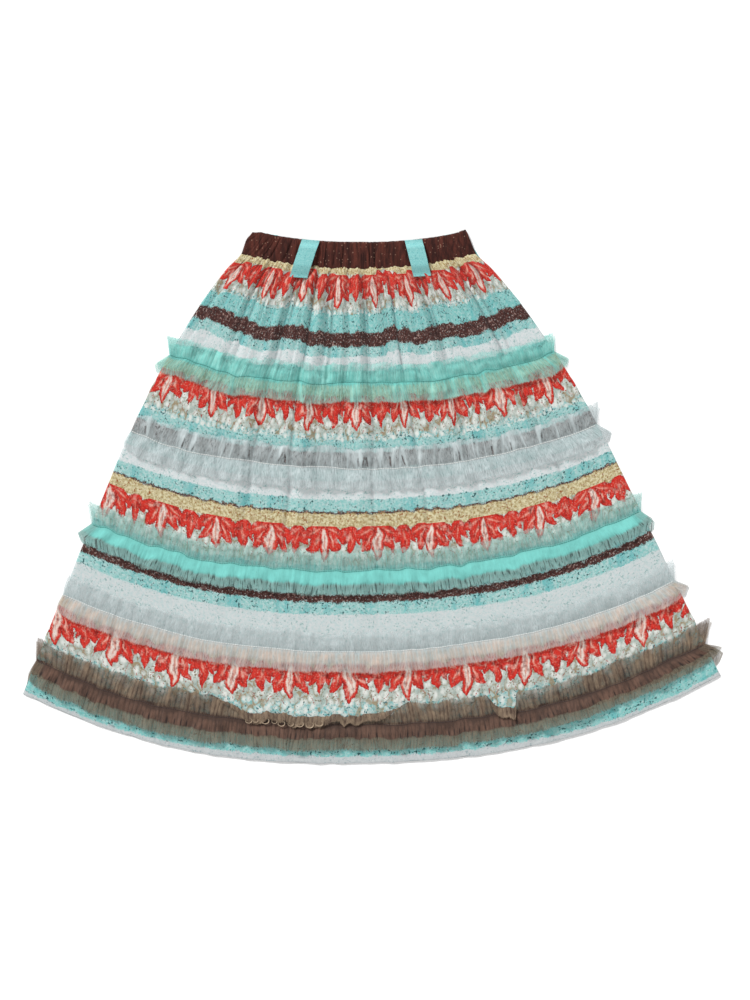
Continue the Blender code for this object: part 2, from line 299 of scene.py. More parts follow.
def plan(across, down):
    """Where a place on the skirt lies on the surface, seen from above."""
    sag = WAIST_SAG + SAG_GROWTH * down
    x = SEAM_X + SHIFT_GROWTH * down + half_width(down) * across
    y = SEAM_Y - down + sag * np.abs(across) ** CURVE_POWER + TILT_GROWTH * down * across
    return x, y


def back_under(down):
    return LOOP_LIFT * (1 - smoothstep(LIFT_HOLD, LIFT_END, down))


def each_fold(across, down):
    """Each fold, how far a place is on its steep side in fold widths, and how much of it is left."""
    grown = HELD_SHARE + (1 - HELD_SHARE) * smoothstep(0, FOLD_RISE, down)
    for number, fold in enumerate(FOLDS):
        ridge = fold.across + FOLD_DRIFT * wander(down, 0.11, 60 + number)
        offset = (across - ridge) / FOLD_WIDTH * fold.steep
        yield fold, offset, grown * (1 - smoothstep(0, fold.reach, down))


def each_gather(across, down):
    """Each set of gathers, the height of its teeth, a random value for each, and how much is left."""
    for gather in GATHERS:
        drifted = across + GATHER_DRIFT * wander(down, 0.05, gather.seed)
        tooth, number = teeth(drifted, gather.step, gather.seed)
        picks = np.random.default_rng(gather.seed).uniform(0, 1, (2, KNOTS))[:, number % KNOTS]
        reach = gather.shortest + (gather.longest - gather.shortest) * picks[0] ** 2
        yield gather, tooth, picks[1], 1 - smoothstep(0, reach, down)


def crease_shade_lines(across, down):
    """Painted shade along the sharp lines where the cloth tucks under beside a fold: 0 to 1."""
    total = 0.0
    for fold, offset, left in each_fold(across, down):
        total = total + fold.height / FULL_SHADE_FOLD * bell(offset, 1.02, 0.13) * left
    for gather, tooth, pick, left in each_gather(across, down):
        unbroken = smoothstep(0.03, 0.06, 0.5 + 0.5 * wander(across, gather.step, gather.seed + 5))
        foot = bell(tooth, 0.0, 0.10) * unbroken
        total = total + gather.depth / FULL_SHADE_GATHER * pick * foot * left
    return np.clip(total, 0, 1) * smoothstep(0.0, 0.02, down)


def folds(across, down):
    """Ridges that fall away softly on one side and tuck under in a crease on the other."""
    total = 0.0
    for fold, offset, left in each_fold(across, down):
        ridge = bell(offset * np.where(offset > 0, 1.75, 0.85), 0, 1)
        crease = bell(offset, 1.05, 0.22)
        total = total + (fold.height * ridge - FOLD_CREASE * crease) * left
    return total


def seam_down(row, across):
    """How far down a ruffle's stitched line is: it wobbles on its way across."""
    slow = row.wobble * wander(across, 0.17, 200 + row.waves)
    return row.down + slow + row.ripple * wander(across * half_width(row.down), 0.015, 220 + row.waves)


def front_height(across, down):
    """Height of the front panel's outer face."""
    across, down = np.broadcast_arrays(across, down)
    inside = np.clip(across, -1, 1)
    held = np.maximum(down, 0)
    lift = FRONT_LIFT * (1 - smoothstep(0, FRONT_LIFT_END, held))
    height = back_under(held) + 2 * PANEL_WALL + SEAM_GAP + lift
    relief = folds(inside, held)
    for gather, tooth, pick, left in each_gather(inside, held):
        relief = relief + gather.depth * (0.25 + 0.75 * pick) * (tooth - 0.4) * left
    x, y = plan(inside, held)
    relief = relief + BROAD_RUMPLE * rumple(x, y, 0.034, 13) + FINE_RUMPLE * rumple(x, y, 0.012, 14)
    for row in RUFFLES:
        near = bell(held, seam_down(row, inside), SEAM_PUCKER_REACH)
        ripple = wander(inside * half_width(row.down), 0.0045, 300 + row.waves)
        relief = relief + SEAM_PUCKER * near * ripple
    hem = bell(held, SKIRT_LENGTH - 0.006, 0.010)
    relief = relief + HEM_PUCKER * hem * wander(inside, 0.022, 15)
    side = smoothstep(0.94, 1.0, np.abs(inside))
    relief = relief + SIDE_PUCKER * side * wander(held + 3 * np.sign(inside), 0.014, 16)
    lowest = back_under(held) + PANEL_WALL + 2 * SEAM_GAP
    above = height + relief * (1 - np.abs(inside) ** 14) - lowest
    return lowest + (above + np.sqrt(above**2 + CREASE_FLOOR**2)) / 2


def rounded_side(across, height, level, width):
    """Brings a height to the level of the side seam in a round edge."""
    near = np.clip((np.abs(across) - (1 - width)) / width, 0, 1)
    return level + (height - level) * np.sqrt(np.maximum(0, 1 - near**2))


def print_shift(across, down):
    """How far the print is carried up or down where the folds take up cloth."""
    to_side = np.abs(across)
    total = PRINT_LEDGE * ledges(across, 0.085, 21) * (1 - smoothstep(0.03, 0.30, down))
    # The gathers hold less cloth at the sides, and the stripes below them turn up at the side seams
    total = total - SIDE_SLACK * smoothstep(0.40, 0.85, to_side) * (1 - smoothstep(0.02, 0.06, down))
    turned_up = np.where(across < 0, TURNED_UP_LEFT, TURNED_UP_RIGHT)
    total = total + turned_up * smoothstep(0.60, 1.0, to_side) * bell(down, 0.095, 0.042)
    # The last stripe is cut narrower towards the side seams
    total = total - HEM_NARROWING * smoothstep(0.30, 0.80, to_side) * smoothstep(0.660, 0.695, down)
    for number, (_, offset, left) in enumerate(each_fold(across, down)):
        past = smoothstep(0.95, 1.15, offset) * np.exp(-np.maximum(0, offset - 1) / 1.6)
        total = total + PRINT_STEP * wander(number, 1, 22) * past * left
    return total


def cloth_across(across, down):
    """Distance across the flat cloth from the centre front."""
    share = np.clip(down / SKIRT_LENGTH, 0, 1)
    return across * (CUT_HALF_AT_WAIST + (CUT_HALF_AT_HEM - CUT_HALF_AT_WAIST) * share)


def mesh_of(name, points, quads, uv=None, values=None):
    """A smooth mesh from points and quads, with the cloth's coordinates and named point values."""
    mesh = bpy.data.meshes.new(name)
    mesh.from_pydata(points.reshape(-1, 3).tolist(), [], quads.reshape(-1, quads.shape[-1]).tolist())
    if uv is not None:
        layer = mesh.uv_layers.new(name="cloth")
        layer.data.foreach_set("uv", uv.reshape(-1, 2)[quads.ravel()].ravel().astype(np.float32))
    for label, value in (values or {}).items():
        layer = mesh.attributes.new(label, "FLOAT", "POINT")
        layer.data.foreach_set("value", np.ascontiguousarray(value.ravel(), np.float32))
    mesh.shade_smooth()
    return mesh


def grid_quads(rows, columns, facing_up=True):
    """Quads of a grid whose rows run from the waist to the hem and columns from left to right."""
    index = np.arange(rows * columns).reshape(rows, columns)
    corners = [index[:-1, :-1], index[1:, :-1], index[1:, 1:], index[:-1, 1:]]
    if not facing_up:
        corners.reverse()
    return np.stack(corners, -1).reshape(-1, 4)


def piece(name, mesh, slot, material, *nodes):
    """Puts a mesh in the scene as a piece of the skirt, in place of the solids named."""
    mesh.materials.append(material)
    made = bpy.data.objects.new(name, mesh)
    bpy.context.scene.collection.objects.link(made)
    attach(made, BODY)
    if nodes:
        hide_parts(*nodes)
    return made


def surface_area(points):
    """Area of a grid of points."""
    a = points[1:, :-1] - points[:-1, :-1]
    b = points[:-1, 1:] - points[:-1, :-1]
    c = points[1:, :-1] - points[1:, 1:]
    d = points[:-1, 1:] - points[1:, 1:]
    near = np.linalg.norm(np.cross(a, b), axis=-1).sum() / 2
    far = np.linalg.norm(np.cross(c, d), axis=-1).sum() / 2
    return float(near + far)


class Value:
    """An output of a node, which adds, multiplies and compares like a number."""

    def __init__(self, graph, socket):
        self.graph = graph
        self.socket = socket

    def __add__(self, other):
        return self.graph.math("ADD", self, other)

    def __sub__(self, other):
        return self.graph.math("SUBTRACT", self, other)

    def __rsub__(self, other):
        return self.graph.math("SUBTRACT", other, self)

    def __mul__(self, other):
        return self.graph.math("MULTIPLY", self, other)

    def __truediv__(self, number):
        return self * (1 / number)

    def __lt__(self, other):
        return self.graph.math("LESS_THAN", self, other)

    def __gt__(self, other):
        return self.graph.math("GREATER_THAN", self, other)

    def __abs__(self):
        return self.graph.math("ABSOLUTE", self)

    __radd__ = __add__
    __rmul__ = __mul__

    def ease(self, low, high, to_low=0.0, to_high=1.0):
        """Maps low..high to to_low..to_high, held at both ends."""
        inputs = {"Value": self, 1: low, 2: high, 3: to_low, 4: to_high}
        return self.graph.node("ShaderNodeMapRange", inputs, clamp=True)


class Graph:
    """Short calls for building a material's nodes."""

    def __init__(self, name):
        self.material = bpy.data.materials.new(name)
        self.material.use_nodes = True
        self.tree = self.material.node_tree
        self.shader = self.tree.nodes["Principled BSDF"]

    def put(self, socket, value):
        if isinstance(value, Value):
            self.tree.links.new(value.socket, socket)
        else:
            socket.default_value = value

    def new(self, kind, inputs, **settings):
        """A new node with its settings made and its inputs set or linked."""
        made = self.tree.nodes.new(kind)
        for key, value in settings.items():
            setattr(made, key, value)
        for key, value in inputs.items():
            self.put(made.inputs[key], value)
        return made

    def node(self, kind, inputs, output=0, **settings):
        """One output of a new node."""
        return Value(self, self.new(kind, inputs, **settings).outputs[output])

    def math(self, operation, first, second=0.0):
        return self.node("ShaderNodeMath", {0: first, 1: second}, operation=operation)

    def mix(self, factor, first, second, blend="MIX"):
        inputs = {0: factor, 6: first, 7: second}
        return self.node("ShaderNodeMix", inputs, 2, data_type="RGBA", blend_type=blend)

    def noise(self, vector, scale, detail=2.0, roughness=0.5):
        inputs = {"Vector": vector, "Scale": scale, "Detail": detail, "Roughness": roughness}
        return self.node("ShaderNodeTexNoise", inputs, "Fac")

    def dapple(self, colour, over, vector, noise, span, most=1.0):
        """Lays a colour over another in patches, where a noise rises through a span."""
        return self.mix(self.noise(vector, *noise).ease(*span, 0.0, most), colour, over)

    def swirl(self, vector, scale, reach):
        """Offsets that bend a pattern by up to about half the reach each way."""
        inputs = {"Vector": vector, "Scale": scale, "Detail": 2.0}
        colour = self.node("ShaderNodeTexNoise", inputs, "Color")
        centred = self.node("ShaderNodeVectorMath", {0: colour, 1: (0.5, 0.5, 0.5)}, operation="SUBTRACT")
        return self.node("ShaderNodeVectorMath", {0: centred, "Scale": reach}, operation="SCALE")

    def shift(self, vector, offset):
        return self.node("ShaderNodeVectorMath", {0: vector, 1: offset}, operation="ADD")

    def combine(self, x, y=0.0):
        return self.node("ShaderNodeCombineXYZ", {"X": x, "Y": y})

    def apart(self, vector):
        """A vector's x and y."""
        outputs = self.new("ShaderNodeSeparateXYZ", {"Vector": vector}).outputs
        return Value(self, outputs["X"]), Value(self, outputs["Y"])

    def cells(self, vector, scale):
        """Distance to the nearest of scattered points, and a random value for that point."""
        outputs = self.new("ShaderNodeTexVoronoi", {"Vector": vector, "Scale": scale}).outputs
        colour = Value(self, outputs["Color"])
        return Value(self, outputs["Distance"]), self.node("ShaderNodeSeparateColor", {"Color": colour})

    def cloth(self):
        """The cloth's coordinates."""
        return self.node("ShaderNodeUVMap", {}, "UV", uv_map="cloth")

    def place(self):
        """The place in the scene's own units."""
        return self.node("ShaderNodeTexCoord", {}, "Object")

    def attribute(self, name):
        return self.node("ShaderNodeAttribute", {}, "Fac", attribute_name=name)

    def ramp(self, factor, stops, smooth=False):
        """A colour ramp from (position, colour) stops."""
        made = self.new("ShaderNodeValToRGB", {"Fac": factor})
        ramp = made.color_ramp
        ramp.interpolation = "LINEAR" if smooth else "CONSTANT"
        ramp.elements[0].position, ramp.elements[0].color = stops[0]
        ramp.elements[1].position, ramp.elements[1].color = stops[-1]
        for position, colour in stops[1:-1]:
            ramp.elements.new(position).color = colour
        return Value(self, made.outputs["Color"])

    def bump(self, height, distance, strength):
        inputs = {"Height": height, "Distance": distance, "Strength": strength}
        self.put(self.shader.inputs["Normal"], self.node("ShaderNodeBump", inputs, "Normal"))

    def finish(self, colour, roughness, sheen=0.0):
        """Sets the shader's colour and gloss, and returns the material."""
        self.put(self.shader.inputs["Base Color"], colour)
        self.shader.inputs["Roughness"].default_value = roughness
        self.shader.inputs["Specular IOR Level"].default_value = 0.25
        self.shader.inputs["Sheen Weight"].default_value = sheen
        self.shader.inputs["Sheen Roughness"].default_value = 0.6
        return self.material


def paint(red, green, blue):
    """A linear colour from the 0..255 values of a picture."""
    def linear(value):
        value /= 255
        return value / 12.92 if value <= 0.04045 else ((value + 0.055) / 1.055) ** 2.4

    return (linear(red), linear(green), linear(blue), 1.0)


# Inks of the print: the ground, the second tone of its mottling, and its specks
Ink = namedtuple("Ink", "ground mottle speck")
TURQUOISE = Ink(paint(114, 184, 180), paint(158, 198, 195), paint(28, 74, 78))
AQUA = Ink(paint(130, 188, 184), paint(180, 205, 203), paint(28, 74, 78))
PALE = Ink(paint(215, 217, 218), paint(190, 205, 205), paint(150, 180, 178))
MILK = Ink(paint(203, 207, 207), paint(182, 200, 200), paint(146, 174, 172))
CREAM = Ink(paint(192, 198, 190), paint(164, 176, 168), paint(118, 104, 80))
FROTH = Ink(paint(202, 208, 202), paint(92, 180, 182), paint(34, 92, 98))
BROWN = Ink(paint(76, 39, 33), paint(44, 24, 21), paint(154, 126, 118))
YELLOW = Ink(paint(214, 206, 168), paint(150, 124, 70), paint(140, 84, 38))
HEM = Ink(paint(194, 198, 199), paint(180, 186, 187), paint(150, 166, 168))

# The stripes, by the distance in millimetres from the waist seam at which each starts
Stripe = namedtuple("Stripe", "start ink")
STRIPES = [
    Stripe(-10, YELLOW),
    Stripe(7, CREAM),
    Stripe(56, FROTH),
    Stripe(64, TURQUOISE),
    Stripe(88, BROWN),
    Stripe(110, AQUA),
    Stripe(125, PALE),
    Stripe(146, TURQUOISE),
    Stripe(166, YELLOW),
    Stripe(188, CREAM),
    Stripe(238, FROTH),
    Stripe(248, AQUA),
    Stripe(264, BROWN),
    Stripe(288, AQUA),
    Stripe(306, PALE),
    Stripe(334, AQUA),
    Stripe(351, BROWN),
    Stripe(355, YELLOW),
    Stripe(373, CREAM),
    Stripe(428, AQUA),
    Stripe(470, BROWN),
    Stripe(482, AQUA),
    Stripe(500, MILK),
    Stripe(556, YELLOW),
    Stripe(580, CREAM),
    Stripe(628, FROTH),
    Stripe(650, TURQUOISE),
    Stripe(656, BROWN),
    Stripe(677, TURQUOISE),
    Stripe(703, HEM),
]
STRIPE_START = -0.010
STRIPE_SPAN = 0.760

# Rows of leaf fans: where each starts and ends, how big its fans are and where the first one stands
FanRow = namedtuple("FanRow", "start end size phase")
FAN_ROWS = [
    FanRow(0.007, 0.050, 1.02, 0.10),
    FanRow(0.184, 0.229, 1.09, 0.62),
    FanRow(0.373, 0.415, 1.02, 0.28),
    FanRow(0.571, 0.621, 1.16, 0.85),
]
FAN_PITCH = 0.088
FAN_REACH = 0.010
FAN_BEND = 0.022
# Leaves of a fan, and of the bud between two fans: lean from upright in degrees, length, half width
Leaf = namedtuple("Leaf", "lean length half_width")
FAN_LEAVES = [
    Leaf(0, 0.049, 0.0108),
    Leaf(35, 0.045, 0.0098),
    Leaf(66, 0.043, 0.0090),
]
BUD_LEAVES = [
    Leaf(0, 0.040, 0.0086),
    Leaf(32, 0.031, 0.0074),
]
# Tones of a fan's leaves and of the leaf at its heart, from the edge inwards
SIDE_TONES = [
    (0.00, paint(138, 24, 17)),
    (0.12, paint(184, 28, 19)),
    (0.40, paint(208, 44, 30)),
    (0.62, paint(190, 44, 32)),
    (0.80, paint(214, 112, 94)),
    (0.97, paint(222, 176, 162)),
]
HEART_TONES = [
    (0.00, paint(110, 16, 12)),
    (0.10, paint(176, 24, 16)),
    (0.26, paint(204, 40, 26)),
    (0.40, paint(200, 64, 48)),
    (0.58, paint(220, 190, 178)),
    (0.80, paint(226, 218, 208)),
    (0.95, paint(206, 150, 136)),
]
# How far inside a leaf's edge the last tone is
TONES_DEPTH = 0.010
# Moves a noise away from another one of the same kind
ASIDE = (7.3, 2.9, 0)


def stripe_stops(colour_of):
    """Ramp stops of the stripes, from a function that gives an ink's colour."""
    stops = []
    for stripe in STRIPES:
        position = (stripe.start * MM - STRIPE_START) / STRIPE_SPAN
        stops.append((max(0.0, position), colour_of(stripe.ink)))
    return stops


def stripe_mask(*inks):
    """Ramp stops that are white in the stripes of some inks and black in the others."""
    return stripe_stops(lambda ink: (1, 1, 1, 1) if ink in inks else (0, 0, 0, 1))


def stripes(graph, cloth, u, v, fine):
    """Colour of the ragged crosswise stripes, with their patches, pebbles and specks, and painted shade
    of folds down the turquoise ones.
    """
    broad = graph.noise(cloth, 75.0, 3.0, 0.6)

    def ragged(stops, fine_reach, broad_reach):
        moved = v + (fine - 0.5) * fine_reach + (broad - 0.5) * broad_reach
        return graph.ramp((moved - STRIPE_START) / STRIPE_SPAN, stops)

    ground = ragged(stripe_stops(lambda ink: ink.ground), 0.010, 0.008)
    mottle = ragged(stripe_stops(lambda ink: ink.mottle), 0.014, 0.022)
    speck = ragged(stripe_stops(lambda ink: ink.speck), 0.010, 0.008)
    colour = graph.dapple(ground, mottle, cloth, (230.0, 5.0, 0.72), (0.42, 0.62))
    colour = graph.dapple(colour, speck, cloth, (110.0, 4.0, 0.7), (0.56, 0.70), 0.30)
    # Painted shade of folds: darker blue-green streaks down the turquoise stripes, placed by a noise
    tinted = ragged(stripe_mask(TURQUOISE, AQUA), 0.010, 0.008)
    fold_shade = graph.noise(graph.combine(u * 1.6, v * 0.5), 26.0, 4.0, 0.65).ease(0.52, 0.66, 0.0, 0.62)
    colour = graph.mix(tinted * fold_shade, colour, paint(70, 166, 168))
    # Soft pale pebbles with warm shadows between them fill the cream stripes
    pebbled = ragged(stripe_mask(CREAM, FROTH), 0.016, 0.026)
    swirled = graph.shift(graph.combine(u * 1.35, v), graph.swirl(cloth, 90.0, 0.006))
    from_middle, tone = graph.cells(swirled, 92.0)
    hollow = pebbled * from_middle.ease(0.50, 0.70, 0.0, 0.8) * tone.ease(0.3, 0.8, 0.25, 1.0)
    hollow_tone = graph.mix(tone.ease(0.58, 0.66), paint(112, 148, 142), paint(142, 120, 82))
    colour = graph.mix(hollow, colour, hollow_tone)
    crown = pebbled * from_middle.ease(0.20, 0.52, 0.9, 0.0)
    colour = graph.mix(crown, colour, paint(222, 224, 218))
    # Irregular specks, thicker in some places than in others
    crumbs = graph.noise(cloth, 300.0, 3.0, 0.65) + (broad - 0.5) * 0.55
    colour = graph.mix(crumbs.ease(0.61, 0.66), colour, speck)
    aside = graph.shift(cloth, ASIDE)
    return graph.dapple(colour, paint(214, 220, 216), aside, (360.0, 3.0, 0.65), (0.60, 0.68), 0.6)


def leaf_depth(graph, x, y, leaf):
    """Distance inside a leaf's edge, negative outside. The leaf's foot is at the origin."""
    lean = math.radians(leaf.lean)
    up = x * math.sin(lean) + y * math.cos(lean)
    side = x * math.cos(lean) - y * math.sin(lean)
    bulge = graph.math("POWER", up.ease(0.0, leaf.length), 0.8)
    belly = graph.math("POWER", graph.math("SINE", bulge * math.pi), 0.62)
    return belly * leaf.half_width - abs(side)


def leaf_fans(graph, cloth, u, v, fine):
    """Where the rows of red leaf fans are, and their colour."""
    # Each row hands its own height, size and phase to one drawing of the fan
    height, phase, in_any = 0.0, 0.0, 0.0
    for row in FAN_ROWS:
        inside = (v > row.start) * (v < row.end + FAN_REACH)
        height = height + inside * ((v - row.start) / row.size)
        phase = phase + inside * row.phase
        in_any = in_any + inside
    bend_u, bend_v = graph.apart(graph.swirl(cloth, 32.0, FAN_BEND))
    turns = graph.math("FRACT", (u + bend_u) / FAN_PITCH + phase + 40.0)
    x = abs(turns - 0.5) * FAN_PITCH
    y = height + bend_v * height.ease(0.0, 0.02)
    heart = leaf_depth(graph, x, y, FAN_LEAVES[0])
    others = -1.0
    for place, leaves in ((x, FAN_LEAVES[1:]), (FAN_PITCH / 2 - x, BUD_LEAVES)):
        for leaf in leaves:
            others = graph.math("MAXIMUM", others, leaf_depth(graph, place, y, leaf))
    upright = graph.combine(u * 2.8, v * 0.7)
    drawn = graph.noise(upright, 150.0, 4.0, 0.7)
    rough = (fine - 0.5) * 0.0060 + (drawn - 0.5) * 0.0052
    heart, others = heart + rough, others + rough
    side_colour = graph.ramp(others / TONES_DEPTH, SIDE_TONES, smooth=True)
    heart_colour = graph.ramp(heart / TONES_DEPTH, HEART_TONES, smooth=True)
    colour = graph.mix(heart > 0.0, side_colour, heart_colour)
    # Smears, shadows, veins and glints
    aside = graph.shift(cloth, ASIDE)
    colour = graph.dapple(colour, paint(222, 178, 164), cloth, (78.0, 4.0, 0.65), (0.55, 0.68), 0.75)
    colour = graph.dapple(colour, paint(112, 18, 13), aside, (95.0, 3.0, 0.65), (0.54, 0.66), 0.65)
    colour = graph.dapple(colour, paint(104, 16, 12), upright, (110.0, 4.0, 0.7), (0.53, 0.64), 0.75)
    colour = graph.dapple(colour, paint(228, 160, 146), cloth, (430.0, 3.0, 0.7), (0.58, 0.66), 0.75)
    depth = graph.math("MAXIMUM", heart, others)
    return (depth > 0.0) * graph.math("MINIMUM", in_any, 1.0), colour


def print_cloth():
    """Printed cloth: ragged crosswise stripes with specks, and rows of red leaf fans, with painted shade
    along the sharp fold lines and down the turquoise stripes.
    """
    graph = Graph("print_cloth")
    cloth = graph.cloth()
    u, v = graph.apart(cloth)
    fine = graph.noise(cloth, 520.0, 3.0, 0.7)
    shown, leaf_colour = leaf_fans(graph, cloth, u, v, fine)
    colour = graph.mix(shown, stripes(graph, cloth, u, v, fine), leaf_colour)
    # Painted shade: the sharp fold lines are darkened as if they lay in their own shade
    colour = graph.mix(graph.attribute("crease") * 0.75, colour, paint(88, 92, 100), "MULTIPLY")
    weave = graph.noise(cloth, 1500.0, 1.0)
    graph.bump(weave * 0.35 + fine * 0.65, 0.35 * MM, 0.55)
    return graph.finish(colour, 0.88, 0.12)


def band_cloth():
    """Dark brown cloth with a few light specks, and painted light and shade of its gathers."""
    graph = Graph("band_cloth")
    spot = graph.place()
    fine = graph.noise(spot, 900.0, 3.0, 0.7)
    # Painted light and shade of the gathers: lit ridges and shaded hollows in streaks across the band
    x, y = graph.apart(spot)
    hollow, lit_ridge = paint(48, 20, 15), paint(98, 48, 37)
    tone = graph.dapple(hollow, lit_ridge, graph.combine(x, y * 0.16), (150.0, 4.0, 0.72), (0.40, 0.62))
    colour = graph.mix(fine.ease(0.35, 0.7, 0.0, 0.55), tone, paint(50, 20, 14))
    near, pick = graph.cells(spot, 260.0)
    colour = graph.mix((near < 0.22) * (pick > 0.72) * 0.45, colour, paint(182, 146, 124))
    graph.bump(fine, 0.3 * MM, 0.6)
    return graph.finish(colour, 0.9, 0.04)


def loop_cloth():
    """Turquoise cloth with fine specks."""
    graph = Graph("loop_cloth")
    spot = graph.place()
    fine = graph.noise(spot, 750.0, 3.0, 0.7)
    colour = graph.mix(fine.ease(0.38, 0.66), paint(150, 206, 204), paint(106, 184, 184))
    near, pick = graph.cells(spot, 420.0)
    colour = graph.mix((near < 0.34) * (pick > 0.72) * 0.5, colour, paint(60, 140, 150))
    graph.bump(fine, 0.3 * MM, 0.6)
    return graph.finish(colour, 0.85, 0.1)


def net(name, crest, crease, shade, contrast, lower=None, veil=None, hair=0.3):
    """See-through net. The point values cover and bunching_and_shade say how much it hides and is
    gathered, and bunching_and_shade also darkens its colour as painted shade.

    Its coordinates run along the strip in pleats and across it from 1 to -1, for the fine streaks.
    Its colour paints the light and shade of fine pleats between the crest tone and the shaded crease
    tone; shade is the colour of the painted shade between pleats in the single layer, and of the fine
    hairs. lower is the crest colour of the half below the seam, and veil that of a single layer,
    where they differ. hair is how dark the fine hairs are in the single layer.
    """
    graph = Graph(name)
    cover, bunching_and_shade = graph.attribute("cover"), graph.attribute("bunching_and_shade")
    u, v = graph.apart(graph.cloth())
    thin = 1.0 - cover
    streaks = graph.noise(graph.combine(u, v * 0.7), 5.0, 5.0, 0.8)
    clouds = graph.noise(graph.combine(u * 0.32, v), 1.3, 3.0, 0.6)
    if lower is not None:
        crest = graph.mix(v < 0.0, crest, lower)
    # Painted light and shade of fine pleats, between the crease and crest tones, darker where bunched
    level = 0.62 + (streaks - 0.5) * (2.6 * contrast) + (clouds - 0.5) * 1.8
    level = level + bunching_and_shade * (-0.20 - 0.35 * contrast)
    colour = graph.mix(level.ease(0.0, 1.0), crease, crest)
    if veil is not None:
        colour = graph.mix(thin.ease(0.20, 0.36) * (v < 0.0) * 0.8, colour, veil)
    # Painted shade between fine pleats where the net lies in a single layer
    gap_shade = streaks.ease(0.38, 0.46, 1.0, 0.0) * thin.ease(0.15, 0.5)
    colour = graph.mix(gap_shade * contrast, colour, shade)
    hairs = graph.noise(graph.combine(u, v * 0.6), 2.3, 1.0, 0.5).ease(0.39, 0.46, 1.0, 0.0)
    hairs = hairs * thin.ease(0.10, 0.40) * v.ease(-0.50, -0.35, hair, 0.25 * hair)
    colour = graph.mix(hairs, colour, shade)
    # Painted shade: partings between the pleats below the seam are darkened nearly to black
    slit_shade = bunching_and_shade.ease(1.3, 2.4, 0.0, 0.85) * (v < -0.2)
    colour = graph.mix(slit_shade, colour, paint(34, 22, 18))

    swing = (streaks - 0.5) * thin.ease(0.05, 0.55, 0.35, 1.5)
    opacity = cover + bunching_and_shade * 0.12 + swing + hairs * 0.25 + (clouds - 0.5) * 0.45
    # The free edges are frayed
    fringe = graph.noise(graph.combine(u), 2.6, 5.0, 0.9).ease(0.34, 0.62, 0.82, 1.0)
    kept = (abs(v) - fringe).ease(0.0, 0.05, 1.0, 0.0)
    graph.put(graph.shader.inputs["Alpha"], opacity.ease(0.0, 1.0, 0.04, 0.98) * kept)
    return graph.finish(colour, 0.75, 0.15)


def thread(name, colour):
    """Thread with a fine twist and a painted highlight along it."""
    graph = Graph(name)
    twist = graph.noise(graph.place(), 2500.0, 1.0)
    graph.bump(twist, 0.1 * MM, 0.5)
    # Painted highlight: the twist lightens the thread a little towards white
    return graph.finish(graph.mix(twist * 0.08, colour, paint(255, 255, 255)), 0.8)


MATERIALS = {
    "print_cloth": print_cloth(),
    "band_cloth": band_cloth(),
    "loop_cloth": loop_cloth(),
}
# Each net's crest tone, crease tone of painted shade, and colour of painted shade between pleats
SOFT_NET = (paint(154, 222, 212), paint(108, 190, 181), paint(62, 84, 80))
TURQUOISE_NET = (paint(176, 214, 206), paint(112, 190, 182), paint(58, 74, 70))
ICE_NET = (paint(208, 218, 219), paint(180, 192, 193), paint(112, 116, 118))
BROWN_NET = (paint(142, 122, 100), paint(66, 47, 38), paint(50, 40, 32))
NETS = {
    "ruffle_1": net("net_turquoise_soft", *SOFT_NET, 0.60, paint(156, 208, 192)),
    "ruffle_2": net("net_ice", *ICE_NET, 0.72),
    "ruffle_3": net(
        "net_turquoise", *TURQUOISE_NET, 0.60, paint(120, 204, 196), paint(142, 172, 166), 0.95
    ),
    "ruffle_4": net("net_ice_beige", *ICE_NET, 0.50, paint(206, 188, 175)),
    "ruffle_5": net("net_brown", *BROWN_NET, 0.72, paint(106, 78, 64), paint(124, 116, 97), 0.5),
    "curls": net("net_brown_curls", paint(184, 164, 140), paint(140, 120, 98), paint(90, 74, 60), 0.3),
}
THREADS = {
    "net_turquoise": thread("thread_turquoise", paint(62, 138, 130)),
    "net_ice": thread("thread_white", paint(232, 232, 228)),
    "net_brown": thread("thread_brown", paint(52, 32, 26)),
}

HEM_TURN_RADIUS = 0.55 * MM
HEM_TURN_DEPTH = 0.012
WAIST_TUCK = 1.5 * MM
TUCK_DEPTH = 2.6 * MM
TUCK_END = 3.0 * MM
HEM_WAVE = 0.9 * MM
SIDE_WAVE = 0.9 * MM
BACK_CLOTH_LEVEL = 1.15 * MM
BACK_RUMPLE = 0.12 * MM
LOWEST_CLOTH = 0.05 * MM
# Columns and rows of the panels' grids
FRONT_GRID = (320, 262)
BACK_GRID = (150, 130)
PANEL_CUT = (2 * CUT_HALF_AT_HEM, SKIRT_LENGTH + HEM_TURN_DEPTH)


def side_dense(count):
    """Places across the skirt, with extra ones where the side seams round over."""
    inner = np.linspace(-1 + EDGE_ROUND, 1 - EDGE_ROUND, count)
    edge = 1 - EDGE_ROUND * (1 - np.sin(np.linspace(0, 1, 6)[1:] * math.pi / 2))
    return np.concatenate([-edge[::-1], inner, edge])


